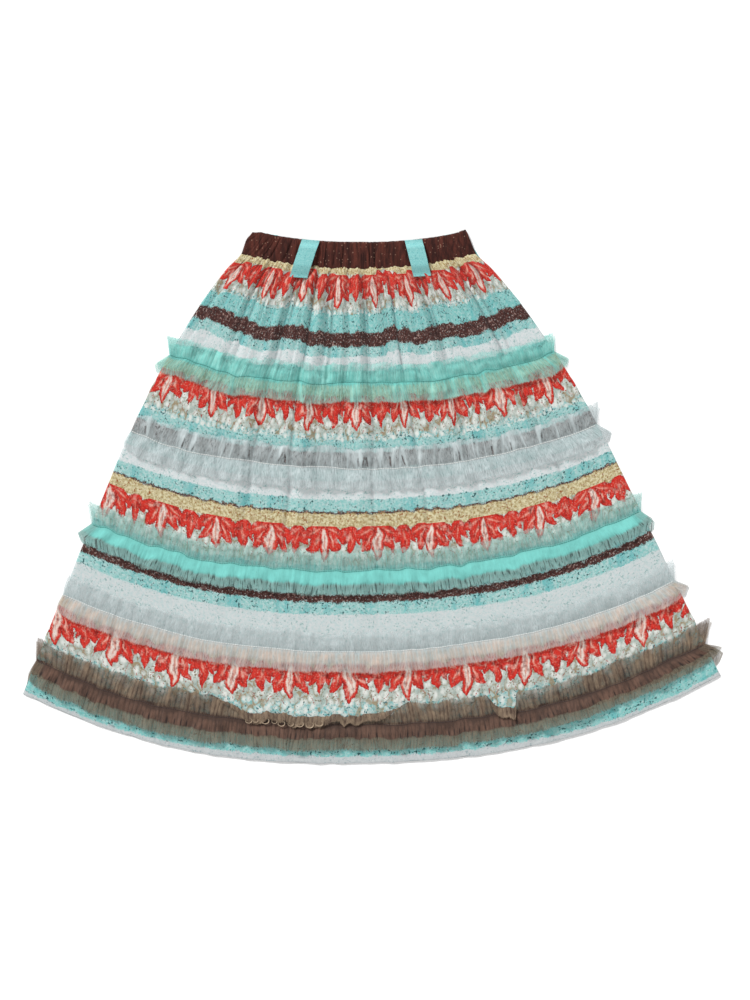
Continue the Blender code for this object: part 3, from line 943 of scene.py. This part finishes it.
def panel_points(columns, rows, height, outward):
    """Points of a panel from the waist to the hem and round the hem's turn, and their places.

    outward is 1 for a panel whose outer face is up and -1 for one whose outer face is down.
    """
    downs = np.linspace(-WAIST_TUCK, SKIRT_LENGTH - HEM_TURN_RADIUS, rows)
    turns = np.linspace(0, math.pi, 6)[1:]
    turn_downs = downs[-1] + HEM_TURN_RADIUS * np.sin(turns)
    turn_drops = HEM_TURN_RADIUS * (1 - np.cos(turns))
    inner_downs = downs[-1] - np.linspace(0, HEM_TURN_DEPTH, 4)[1:]
    all_downs = np.concatenate([downs, turn_downs, inner_downs])[:, None]
    drops = np.concatenate([0 * downs, turn_drops, 0 * inner_downs + 2 * HEM_TURN_RADIUS])[:, None]
    across, down = np.broadcast_arrays(side_dense(columns)[None, :], all_downs)
    held = np.minimum(down, SKIRT_LENGTH)
    z = rounded_side(across, height(across, held), EDGE_LEVEL, EDGE_ROUND) - outward * drops
    x, y = plan(across, down)
    return np.stack([x, y, z], -1), across, down


def cloth_shell(node, slot, points, uv, values, facing_up, flat, held, *rests_on):
    """Puts a cloth's mesh in the scene in place of a solid, and works out its flat area: the smaller
    of its surface's area and its cut's.
    """
    name = node + "_cloth"
    mesh = mesh_of(name, points, grid_quads(*points.shape[:2], facing_up), uv, values)
    made = piece(name, mesh, slot, MATERIALS[slot], node)
    area = min(surface_area(points), flat[0] * flat[1])


def front_panel():
    """The front panel's cloth, with its gathers, creases and wavy hem, and painted shade along
    the creases.
    """

    def height(across, down):
        return front_height(across, down) - TUCK_DEPTH * (1 - smoothstep(-WAIST_TUCK, TUCK_END, down))

    points, across, down = panel_points(*FRONT_GRID, height, 1)
    points[..., 1] += HEM_WAVE * wander(across, 0.030, 31) * smoothstep(0.69, SKIRT_LENGTH, down)
    edge = np.sign(across) * smoothstep(0.985, 1.0, np.abs(across))
    points[..., 0] += SIDE_WAVE * edge * wander(down, 0.02, 32)
    uv = np.stack([cloth_across(across, down), down + print_shift(across, down)], -1)
    # The crease values paint shade along the sharp fold lines
    values = {"crease": crease_shade_lines(across, down)}
    under = "back_panel_cloth"
    cloth_shell("front_panel", "print_cloth", points, uv, values, True, PANEL_CUT, "laid", under)


def back_panel():
    """The back panel's cloth, flat on the surface with its outer face down."""

    def height(across, down):
        rumpled = BACK_RUMPLE * rumple(*plan(across, down), 0.02, 41)
        return back_under(np.maximum(down, 0)) + BACK_CLOTH_LEVEL + rumpled

    points, across, down = panel_points(*BACK_GRID, height, -1)
    points[..., 2] -= 2 * HEM_TURN_RADIUS * smoothstep(SKIRT_LENGTH - 0.02, SKIRT_LENGTH, down) * 0.8
    points[..., 2] = np.maximum(points[..., 2], LOWEST_CLOTH)
    uv = np.stack([cloth_across(-across, down), down], -1)
    cloth_shell("back_panel", "print_cloth", points, uv, {}, False, PANEL_CUT, "laid")


RUFFLE_SHARES = np.concatenate([np.linspace(1, 0, 15), np.linspace(0, -1, 15)[1:]])
COLUMNS_PER_PLEAT = 10
PRESSED_COLUMNS_PER_PLEAT = 5
# The point at the end of a lower half: its share of the half's width, and how far its edge returns
POINT_SHARE = 9 / 14
POINT_RETURN = 0.80
NET_SEAT = 0.35 * MM
NET_SWAY = 5.0 * MM
NET_CURL = 1.2 * MM
FOLDED_RISE = 9 * MM
PRESSED_LEVEL = 0.75 * MM


def of_half(row, share, field):
    """A value of the half above a ruffle's seam or the one below it."""
    return np.where(share > 0, getattr(row.above, field), getattr(row.below, field))


def overhang_of(row, along, share):
    """How far a strip's end stands out past the side seam.

    The half above the stitching ends in a straight cut up to its corner, the one below in a point.
    """
    open_share = np.abs(share)
    returned = POINT_RETURN * np.maximum(0, open_share - POINT_SHARE) / (1 - POINT_SHARE)
    point = np.minimum(open_share / POINT_SHARE, 1) - returned
    past = np.where(along < 0, of_half(row, share, "left"), of_half(row, share, "right"))
    return past * np.where(share > 0, open_share, point)


def cover_of(row, share, along, count, seed):
    """How much of what lies under it a ruffle hides."""
    near, far, end, blur = (of_half(row, share, field) for field in ("near", "far", "end", "blur"))
    ragged = np.where(share > 0, 1.0, 0.35)
    ragged = ragged * (0.09 * wander(count, 1.1, seed) + 0.05 * wander(count, 0.4, seed + 1))
    cover = far + (near - far) * (1 - smoothstep(-blur, blur, np.abs(share) - end + ragged))
    half = half_width(row.down)
    place = along * half
    for order, tufts in enumerate(TUFTS):
        if tufts.ruffle != row.name:
            continue
        on_side = np.sign(share) == tufts.side
        pick = np.random.default_rng(seed + 40 + order).uniform(-1, 1, (tufts.count, 4))
        for spot, lean, size, offset in pick:
            middle = 0.96 * half * spot + 0.006 * lean * np.abs(share)
            spread = tufts.tuft * (0.8 + 0.4 * size) * (0.25 + 0.75 * np.abs(share))
            cover = cover + 0.30 * on_side * bell(place, middle, spread)
            if tufts.slit:
                beside = middle + np.sign(offset) * (spread + tufts.slit)
                hole = 1 - smoothstep(0.65, 1.0, np.abs(place - beside) / tufts.slit)
                from_middle = np.abs(np.abs(share) - 0.32 - 0.06 * offset)
                hole = hole * (1 - smoothstep(0.75, 1.0, from_middle / 0.24))
                cover = cover - 0.42 * on_side * hole
    return cover * (1 - 0.24 * smoothstep(0.955, 0.985, np.abs(along)))


def pleats_of(row):
    return round(2 * half_width(row.down) / row.pitch)


def valleys(count):
    """The narrow valleys between a strip's pleats: 1 at their bottom and 0 on a pleat."""
    return bell((1 - np.cos(2 * math.pi * count)) / 2, 0, 0.30)


def gathered(valley, open_share):
    """How bunched the net is, along its valleys and all along its seam. It darkens the net's colour:
    painted shade, and the denser net where it is bunched.
    """
    return np.clip(valley * (1 - 0.5 * open_share) + bell(open_share, 0, 0.12), 0, 1)


def bunching_of(row, share, place, count, seed):
    """How bunched a front ruffle's net is, with its painted shade: a shadow line below the seam and
    darkened partings between its pleats.
    """
    bunching_and_shade = gathered(valleys(count), np.abs(share))
    if row.name in SHADED_SEAMS:
        # A painted shadow line just below the seam, stronger in some places than in others
        shadow = bell(share, -0.05, 0.08) * np.maximum(0, 0.5 + 0.9 * wander(place, 0.018, seed + 19))
        bunching_and_shade = bunching_and_shade + 1.5 * shadow
    if row.name in SLITS_BELOW:
        # Partings between the pleats, which the net's colour darkens as painted shade
        parted = bell(np.mod(count / 1.4, 1.0), 0.5, 0.10)
        parted = parted * bell(share, 0.07 - row.below.end, 0.13)
        bunching_and_shade = bunching_and_shade + 3.4 * parted * (0.6 + 0.4 * wander(count, 2.3, seed + 18))
    return bunching_and_shade


def turn_of(row, along, share, seed):
    """The share of a half's width at which it folds back: 1 where it lies open."""
    turn = np.full_like(along * share, 1.0)
    for flip in FLIPS:
        if flip.ruffle == row.name:
            on_side = (np.sign(share) == flip.side).astype(float)
            bend = 1 - smoothstep(0.45, 1.0, np.abs(along - flip.across) / flip.half_length)
            rough = 0.10 * wander(along * half_width(row.down), 0.009, seed)
            turn = turn - (1 - flip.turn + rough) * on_side * bend
    return turn


def net_piece(row, label, points, count, share, bunching_and_shade, cover, facing_up, *nodes):
    """Puts a grid of a ruffle's net in the scene, and works out its flat size."""
    size = points.shape[:2]
    uv = np.stack(np.broadcast_arrays(count, share), -1)
    values = {"bunching_and_shade": np.broadcast_to(bunching_and_shade, size), "cover": np.broadcast_to(cover, size)}
    mesh = mesh_of(row.name + label, points, grid_quads(*size, facing_up), uv, values)
    made = piece(row.name + label, mesh, row.slot, NETS[row.name], *nodes)
    width = row.above.width + row.below.width
    return made, (surface_area(points) / width, width)


def ruffle(row, number):
    """A front ruffle: a strip of net, gathered and stitched down along its middle."""
    pleats = pleats_of(row)
    along = np.linspace(-1, 1, pleats * COLUMNS_PER_PLEAT + 1)[None, :]
    share = RUFFLE_SHARES[:, None]
    open_share = np.abs(share)
    seed = 500 + 20 * number
    place = along * half_width(row.down)

    # A half that is folded back comes up to its turn and returns towards the seam
    turn = turn_of(row, along, share, seed + 16)
    folded = np.maximum(0, open_share - turn)
    reach = np.minimum(open_share, turn) - 0.8 * folded

    count = pleats * (along + 1) / 2 + 0.8 * wander(place, 0.035, seed)
    count = count + 0.35 * wander(place, 0.011, seed + 10)
    count = count + 0.25 * open_share * wander(place, 0.020, seed + 1)
    ridge = 1 - 1.6 * valleys(count)
    uneven = 0.85 + 0.60 * wander(count, 1.7, seed + 2)
    depth = row.pleat * (0.30 + 0.70 * smoothstep(0, 0.55, reach)) * uneven
    lean = 1.4 * wander(place, 0.028, seed + 3)

    ragged = 0.045 * wander(count, 0.9, seed + 4) + 0.07 * wander(count, 3.1, seed + 5)
    ragged = 1 + ragged * np.where(share > 0, 1.0, 0.4)
    ragged = ragged * (1 - 0.13 * smoothstep(0.975, 1.0, np.abs(along)))
    tapered = 1 - of_half(row, share, "taper") * smoothstep(0, 1, along)
    width = of_half(row, share, "width") * tapered * ragged
    down = seam_down(row, along) - np.sign(share) * reach * width
    jagged = 1 + 0.06 * wander(share, 0.23, seed + 11) + 0.05 * wander(share, 0.10, seed + 17)
    past = overhang_of(row, along, share) * jagged
    across = along + np.sign(along) * past * np.abs(along) ** 10 / half_width(down)
    x, y = plan(across, down)
    sway = NET_SWAY * wander(place, 0.022, seed + 6) * open_share**2
    sway = sway * (1 - 0.8 * smoothstep(0.95, 0.99, np.abs(along)))
    x = x + sway + lean * depth * ridge

    seat = front_height(across, down) + NET_SEAT
    loft = RUFFLE_LOFT * (0.85 + 0.3 * wander(place, 0.06, seed + 7))
    wave = np.cos(math.pi * row.waves * (along + 1) + 1.5 * wander(along, 0.1, seed + 8))
    raised = loft * np.sin(np.clip(reach, 0, 1) * math.pi / 2) ** 0.8
    curl = NET_CURL * wander(count, 1.4, seed + 12) * open_share**3
    heap = row.lump * (rumple(x, y, 0.017, seed + 14) + 0.5 * rumple(x, y, 0.008, seed + 15))
    raised = raised + heap * smoothstep(0, 0.35, reach)
    raised = raised + depth * ridge + WAVE_HEIGHT * wave * reach + curl + folded * FOLDED_RISE
    outside = (np.abs(across) - 1) * half_width(down)
    edge_drop = (raised - EDGE_CLEARANCE * open_share) * smoothstep(-DROOP_INSIDE, 0, outside)
    end_drop = (seat + EDGE_CLEARANCE - DROOPED_LEVEL) * smoothstep(0, DROOP_OUTSIDE, outside)
    z = seat + np.maximum(0, raised) - edge_drop * 0.8 - end_drop

    bunching_and_shade = bunching_of(row, share, place, count, seed)
    cover = cover_of(row, share, along, count, seed + 13) + 0.3 * (folded > 0)
    points = np.stack(np.broadcast_arrays(x, y, z), -1)
    made, flat = net_piece(row, "_net", points, count, share, bunching_and_shade, cover, True, row.name)
    sewn = [extra for extra in (seam_stitches(row), curl_rows(row)) if extra]


def pressed_ruffle(row, number):
    """The part of a ruffle that runs round the back, pressed flat between the skirt and the surface."""
    pleats = pleats_of(row)
    along = np.linspace(-1, 1, pleats * PRESSED_COLUMNS_PER_PLEAT + 1)[None, :]
    share = np.linspace(1, -1, 13)[:, None]
    open_share = np.abs(share)
    count = pleats * (along + 1) / 2 + 0.6 * wander(along, 0.05, 700 + number)
    valley = valleys(count)
    width = of_half(row, share, "width") * (1 + 0.05 * wander(count, 1.2, 710 + number))
    down = row.down - share * width
    across = along * (1 + overhang_of(row, along, share) * np.abs(along) ** 8 / half_width(down))
    x, y = plan(across, down)
    x = x + 3 * MM * wander(count, 3.0, 720 + number) * share**2
    z = PRESSED_LEVEL - (0.35 + 0.25 * valley) * open_share * MM
    points = np.stack(np.broadcast_arrays(x, y, z), -1)
    bunching_and_shade = gathered(valley, open_share)
    cover = cover_of(row, share, along, count, 730 + number)
    made, flat = net_piece(row, "_back_net", points, count, share, bunching_and_shade, cover, False)


# Stretches where a ruffle's free edge rolls up into a row of small curls: their pitch and radius
Curls = namedtuple("Curls", "ruffle start end pitch radius")
CURLS = [
    Curls("ruffle_5", -0.38, -0.14, 12.5 * MM, 5.0 * MM),
]
CURL_TURNS = 0.86
CURL_STEPS = 25
CURL_WIDTH = 1.4 * MM
CURL_OPENING = 2.0
CURL_HEIGHT = 6.5 * MM


def curl_of(curls, row, middle, pick):
    """Points of one roll: a ribbon's two edges, round most of a turn."""
    along = curls.start + (curls.end - curls.start) * (middle + pick[0])
    down = seam_down(row, along) - 1 * MM - 1.5 * MM * pick[1]
    x, y = plan(along, down)
    turns = np.linspace(0, 2 * math.pi * CURL_TURNS, CURL_STEPS)[:, None]
    side = np.array([[-0.5, 0.5]])
    radius = curls.radius * (1 + 0.2 * pick[2]) * (1 - 0.15 * turns / turns[-1]) * (1 + 0.28 * side)
    angle = turns + CURL_OPENING + 0.5 * pick[3]
    z = front_height(along, down) + CURL_HEIGHT + side * CURL_WIDTH + 0.4 * MM * np.sin(angle)
    x, y = x + radius * np.cos(angle), y + radius * 0.8 * np.sin(angle)
    return np.stack(np.broadcast_arrays(x, y, z), -1)


def curl_rows(row):
    """Small rolls of net along a folded edge, as one mesh of short ribbons."""
    rolls = []
    for curls in CURLS:
        if curls.ruffle == row.name:
            count = int((curls.end - curls.start) * half_width(row.down) / curls.pitch)
            picks = np.random.default_rng(97).uniform(-1, 1, (count, 4))
            for i, pick in enumerate(picks):
                spread = np.array([0.25 / count, 1, 1, 1])
                rolls.append(curl_of(curls, row, (i + 0.5) / count, pick * spread))
    if not rolls:
        return None
    quads = np.concatenate([grid_quads(CURL_STEPS, 2) + 2 * CURL_STEPS * i for i in range(len(rolls))])
    size = 2 * CURL_STEPS * len(rolls)
    uv = np.array([(0.3 * k, 0.2) for k in range(size)])
    values = {"cover": np.full(size, 0.9), "bunching_and_shade": np.full(size, 0.18)}
    mesh = mesh_of(row.name + "_curls", np.array(rolls), quads, uv, values)
    return piece(row.name + "_curls", mesh, row.slot, NETS["curls"])


def tube_quads(rings, sides):
    """Quads of a tube of rings of points, closed at both ends."""
    index = np.arange(rings * sides).reshape(rings, sides)
    ahead = np.roll(index, -1, axis=1)
    round_it = np.stack([index[:-1], index[1:], ahead[1:], ahead[:-1]], -1).reshape(-1, 4)
    near = np.arange(sides // 2 - 1)
    cap = np.stack([near, near + 1, sides - 2 - near, sides - 1 - near], -1)
    return np.concatenate([round_it, cap, (rings - 1) * sides + cap[:, ::-1]])


# Rings of a stitch: their share of its length and of its radius
STITCH_RINGS = np.array([(0.0, 0.35), (0.14, 0.95), (0.5, 1.1), (0.86, 0.95), (1.0, 0.35)])
STITCH_SIDES = 6
STITCH_AHEAD = 0.5 * MM
Stitch = namedtuple("Stitch", "length gap radius")
SEAM_STITCH = Stitch(2.9 * MM, 0.5 * MM, 0.46 * MM)
TOPSTITCH = Stitch(2.2 * MM, 0.9 * MM, 0.16 * MM)
STITCH_LIFT = 0.75 * MM


def stitch_row(name, path, stitch, slot, material):
    """Stitches along a path of points, as one mesh of short rounded threads."""
    steps = np.linalg.norm(np.diff(path, axis=0), axis=1)
    run = np.concatenate([[0], np.cumsum(steps)])

    def at(places):
        return np.stack([np.interp(places, run, path[:, i]) for i in range(3)], -1)

    starts = np.arange(0, run[-1] - stitch.length, stitch.length + stitch.gap)
    places = starts[:, None] + STITCH_RINGS[:, 0] * stitch.length
    centre = at(places)
    heading = at(places + STITCH_AHEAD) - centre
    heading = heading / np.maximum(np.linalg.norm(heading, axis=-1, keepdims=True), 1e-9)
    side = np.cross(heading, (0, 0, 1))
    up = np.cross(side, heading)
    angle = (2 * math.pi * np.arange(STITCH_SIDES) / STITCH_SIDES)[:, None]
    out = side[:, :, None] * np.cos(angle) + up[:, :, None] * np.sin(angle)
    points = centre[:, :, None] + out * stitch.radius * STITCH_RINGS[:, 1, None, None]
    one = tube_quads(len(STITCH_RINGS), STITCH_SIDES)
    quads = one + len(STITCH_RINGS) * STITCH_SIDES * np.arange(len(starts))[:, None, None]
    return piece(name, mesh_of(name, points, quads), slot, material)


def seam_stitches(row):
    """The stitches that hold a ruffle down along its middle."""
    along = np.linspace(-0.995, 0.995, 900)
    down = seam_down(row, along)
    path = np.stack([*plan(along, down), front_height(along, down) + STITCH_LIFT], -1)
    return stitch_row(row.name + "_stitches", path, SEAM_STITCH, row.slot, THREADS[row.slot])


# Creases across the waistband: their pitch, width as a share of it, depth, and the share left out
BandCrease = namedtuple("BandCrease", "pitch width depth kept")
BAND_CREASES = [
    BandCrease(0.0115, 0.15, 3.4 * MM, 0.12),
    BandCrease(0.0050, 0.22, 1.5 * MM, 0.35),
]
BAND_COLUMNS = 700
BAND_PROFILE = 22
BAND_ROUND = 0.020
BAND_MIDDLE = 4.25 * MM
BAND_OVERLAP = 1.2 * MM
BAND_TURN = 7 * MM
BAND_TURN_RISE = 0.4 * MM
CREASE_SLANT = 0.0105
BAND_KNOTS = 400
# How far the band's ends bulge, its right corner stands up, and its left one drops and comes in
END_SWELL = 2.0 * MM
RIGHT_RISE = 2.0 * MM
LEFT_DROP = 3.5 * MM
LEFT_INWARD = 2.5 * MM


def band_relief(place, shares, slant, seed):
    """Creases across the waistband, with a fine swell between them."""
    relief = 0.0
    for pitch, width, depth, kept in BAND_CREASES:
        count = place / pitch + 0.9 * wander(place, 2.3 * pitch, seed)
        leaning = slant * CREASE_SLANT / pitch + 0.5 * wander(place, 0.03, seed + 1)
        count = count + (shares - 0.5) * leaning
        nearest = np.round(count)
        number = (nearest + BAND_KNOTS // 2).astype(int) % BAND_KNOTS
        cell = np.random.default_rng(seed + 2).uniform(0, 1, BAND_KNOTS)[number]
        strength = np.clip((cell - kept) / (1 - kept), 0, 1)
        off = (count - nearest) / width
        middle = 0.5 + 0.4 * wander(nearest, 0.7, seed + 3)
        length = 0.45 + 0.5 * cell
        along = 1 - smoothstep(length * 0.6, length, np.abs(shares - middle))
        relief = relief - depth * strength * np.exp(-np.abs(off) ** 1.3) * (0.25 + 0.75 * along)
        seed = seed + 5
    return relief + (0.5 * MM * wander(place, 0.009, seed) + 0.3 * MM * wander(place, 0.004, seed + 1))


def waistband(node, level, bulge, outward, seed, *rests_on):
    """One half of the waistband: a shell that is puffed between its edges and gathered on elastic.

    level is the height of its edges, and the shell bulges from there up or down by its fullness.
    """
    across = side_dense(BAND_COLUMNS)[None, :]
    turn = np.linspace(0, 1, BAND_PROFILE)
    tail = np.linspace(0, 1, 4)[1:]
    shares = np.concatenate([turn, 1 + 0 * tail])[:, None]
    inner = np.concatenate([0 * turn, tail])[:, None]
    half = half_width(-BAND_HEIGHT / 2)
    # Creases stand upright in the middle and slant where the band curves up to its ends
    slant = -1.5 * smoothstep(-0.35, -0.95, across) + 1.3 * smoothstep(0.35, 0.95, across)
    relief = band_relief(across * half, shares, slant, seed)
    puff = np.sin(math.pi * np.clip(shares, 0.001, 0.999)) ** 0.30
    z = level + outward * (bulge * puff + relief * puff) - outward * inner * BAND_TURN_RISE
    down = BAND_OVERLAP - (BAND_HEIGHT + BAND_OVERLAP) * shares + inner * BAND_TURN
    down = down - 0.35 * relief * smoothstep(0.7, 1.0, shares) * (1 - inner)
    across, down, z = np.broadcast_arrays(across, down, z)
    x, y = plan(across, down)
    z = rounded_side(across, z, BAND_MIDDLE, BAND_ROUND)
    # The band's ends bulge a little between its two seams, and its right corner stands up
    swell_out = np.sin(math.pi * np.clip(-down / BAND_HEIGHT, 0, 1)) ** 0.7 * np.abs(across) ** 6
    corner = smoothstep(0.90, 1.0, np.abs(across)) * smoothstep(-0.5 * BAND_HEIGHT, -BAND_HEIGHT, down)
    x = x + np.sign(across) * END_SWELL * swell_out + np.where(across > 0, 0.0, LEFT_INWARD) * corner
    y = y + np.where(across > 0, RIGHT_RISE, -LEFT_DROP) * corner
    points = np.stack([x, y, z], -1)
    uv = np.stack([across * half, down], -1)
    flat = (4 * half, BAND_HEIGHT + 8 * MM)
    cloth_shell(node, "band_cloth", points, uv, {}, outward < 0, flat, "gathered", *rests_on)


def waistbands():
    """The waistband's two halves, each with the heights of the solid that it covers."""
    waistband("waistband_front", 4.6 * MM, 3.2 * MM, 1, 801, "waistband_back_cloth")
    waistband("waistband_back", 3.9 * MM, 2.3 * MM, -1, 811)


LOOP_WIDTH = 0.025
STRAP_SLANT = 0.75
LOOP_CLOTH = 1.1 * MM
STITCH_INSET = 2.2 * MM
STITCH_DIP = 0.22 * MM
STRAP_CREASE = 0.20 * MM
STRAP_ROWS = 61
STRAP_SIDES = 32
STRAP_CROWN = STRAP_SIDES // 4
Loop = namedtuple("Loop", "name top_x foot_x foot_down")
FRONT_LOOPS = [
    Loop("belt_loop_left", -0.069, -0.087, 0.018),
    Loop("belt_loop_right", 0.079, 0.092, 0.017),
]
BACK_LOOPS = [
    Loop("back_loop_left", -0.130, -0.149, 0.010),
    Loop("back_loop_right", 0.138, 0.162, 0.006),
]


def loop_line(loop):
    """A loop's top in plan, its length, and the directions along it and across it."""
    top = plan(loop.top_x / half_width(-BAND_HEIGHT), -BAND_HEIGHT)[1] - 0.5 * MM
    foot_across = (loop.foot_x - SHIFT_GROWTH * loop.foot_down) / half_width(loop.foot_down)
    foot = plan(foot_across, loop.foot_down)[1]
    start = np.array([SEAM_X + loop.top_x, top])
    run = np.array([SEAM_X + loop.foot_x, foot]) - start
    length = float(np.linalg.norm(run))
    heading = run / length
    return start, length, heading, np.array([-heading[1], heading[0]])


def belt_loop(loop, number, heights):
    """A folded strap from its top to its foot: (share along, height of its underside) in heights."""
    top, length, heading, side = loop_line(loop)
    along = np.linspace(0, 1, STRAP_ROWS)[:, None]
    stations = np.array(heights)
    under = np.interp(along[:, 0], stations[:, 0], stations[:, 1])
    under = np.convolve(np.pad(under, 2, mode="edge"), np.ones(5) / 5, mode="valid")[:, None]
    slant = -STRAP_SLANT * heading[0] / heading[1]
    ring = np.linspace(0, 2 * math.pi, STRAP_SIDES + 1)[None, :-1]
    edge_x = np.sign(np.cos(ring)) * np.abs(np.cos(ring)) ** 0.25
    edge_z = np.sign(np.sin(ring)) * np.abs(np.sin(ring)) ** 0.8
    width = LOOP_WIDTH * (1 + 0.012 * wander(along, 0.11, 900 + number))
    out = edge_x * width / 2
    stitch_dip = STITCH_DIP * bell(np.abs(out), LOOP_WIDTH / 2 - STITCH_INSET, 0.7 * MM) * (edge_z > 0)
    crease = STRAP_CREASE * wander(along * length, 0.006, 910 + number) * (edge_z > 0)
    z = under + LOOP_CLOTH / 2 * (1 + edge_z) - stitch_dip + crease
    run = length * along + slant * out
    x = top[0] + heading[0] * run + side[0] * out
    y = top[1] + heading[1] * run + side[1] * out
    points = np.stack(np.broadcast_arrays(x, y, z), -1)
    mesh = mesh_of(loop.name + "_strap", points, tube_quads(STRAP_ROWS, STRAP_SIDES)[:, ::-1])
    piece(loop.name + "_strap", mesh, "loop_cloth", MATERIALS["loop_cloth"], loop.name)
    return points


def loop_stitches(loop, points):
    """Two rows of topstitching near the strap's edges."""
    material = thread("thread_loop", paint(168, 226, 220))
    side = loop_line(loop)[3]
    for label, out in (("left", -1), ("right", 1)):
        shift = [*side * out * (LOOP_WIDTH / 2 - STITCH_INSET), -0.12 * MM]
        path = points[2:-2, STRAP_CROWN] + shift
        name = f"{loop.name}_stitches_{label}"
        stitch_row(name, path, TOPSTITCH, "loop_cloth", material)


def belt_loops():
    """Front loops that stand off the waistband for a belt, and back loops that lie flat."""
    for number, loop in enumerate(FRONT_LOOPS):
        low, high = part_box(loop.name)
        seat, raised = low.z, high.z - 1.2 * MM
        heights = [(0, seat), (0.09, seat), (0.20, raised), (0.70, raised), (0.94, seat), (1, seat)]
        loop_stitches(loop, belt_loop(loop, number, heights))
    for number, loop in enumerate(BACK_LOOPS):
        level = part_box(loop.name)[0].z + 0.05 * MM
        belt_loop(loop, 5 + number, [(0, level), (1, level)])


# The photo's frame and scale, and where the middle of the waist seam lies in it
PIXEL = 1.447 * MM
FRAME_WIDTH = 750
FRAME_HEIGHT = 1000
SEAM_PIXEL_X = 358.7
SEAM_PIXEL_Y = 268.4
LENS = 100.0
SENSOR = 36.0


def link(name, data):
    made = bpy.data.objects.new(name, data)
    bpy.context.scene.collection.objects.link(made)
    return made


def camera():
    """Straight above the skirt, waist up, with the photo's framing."""
    data = bpy.data.cameras.new("camera")
    data.lens, data.sensor_width, data.clip_end = LENS, SENSOR, 50
    made = link("camera", data)
    made.location = (
        SEAM_X + (FRAME_WIDTH / 2 - SEAM_PIXEL_X) * PIXEL,
        SEAM_Y - (FRAME_HEIGHT / 2 - SEAM_PIXEL_Y) * PIXEL,
        PIXEL * FRAME_HEIGHT * LENS / SENSOR,
    )
    bpy.context.scene.camera = made


def floor():
    """A plain pale floor."""
    mesh = bpy.data.meshes.new("floor")
    mesh.from_pydata([(-15, -15, 0), (15, -15, 0), (15, 15, 0), (-15, 15, 0)], [], [(0, 1, 2, 3)])
    made = link("floor", mesh)
    graph = Graph("floor")
    graph.shader.inputs["Emission Color"].default_value = (1, 1, 1, 1)
    graph.shader.inputs["Emission Strength"].default_value = 0.12
    mesh.materials.append(graph.finish(paint(252, 252, 252), 0.95))


def sun(name, azimuth, elevation, angle, strength):
    """A soft far light. azimuth is counted in degrees from +X towards +Y."""
    data = bpy.data.lights.new(name, "SUN")
    data.angle, data.energy = math.radians(angle), strength
    turn = math.radians(azimuth) + math.pi / 2
    link(name, data).rotation_euler = (math.radians(90 - elevation), 0, turn)


def lights():
    """Soft studio light: a key, a fill and a pale surround."""
    sun("key_light", 127, 38, 16, 3.0)
    sun("fill_light", -35, 60, 60, 0.5)
    world = bpy.data.worlds.new("world")
    world.use_nodes = True
    world.node_tree.nodes["Background"].inputs["Color"].default_value = (1, 1, 1, 1)
    world.node_tree.nodes["Background"].inputs["Strength"].default_value = 0.36
    bpy.context.scene.world = world
    bpy.context.scene.view_settings.view_transform = "Standard"


camera()
floor()
lights()
front_panel()
back_panel()
for order, ruffle_row in enumerate(RUFFLES):
    ruffle(ruffle_row, order)
    pressed_ruffle(ruffle_row, order)
waistbands()
belt_loops()
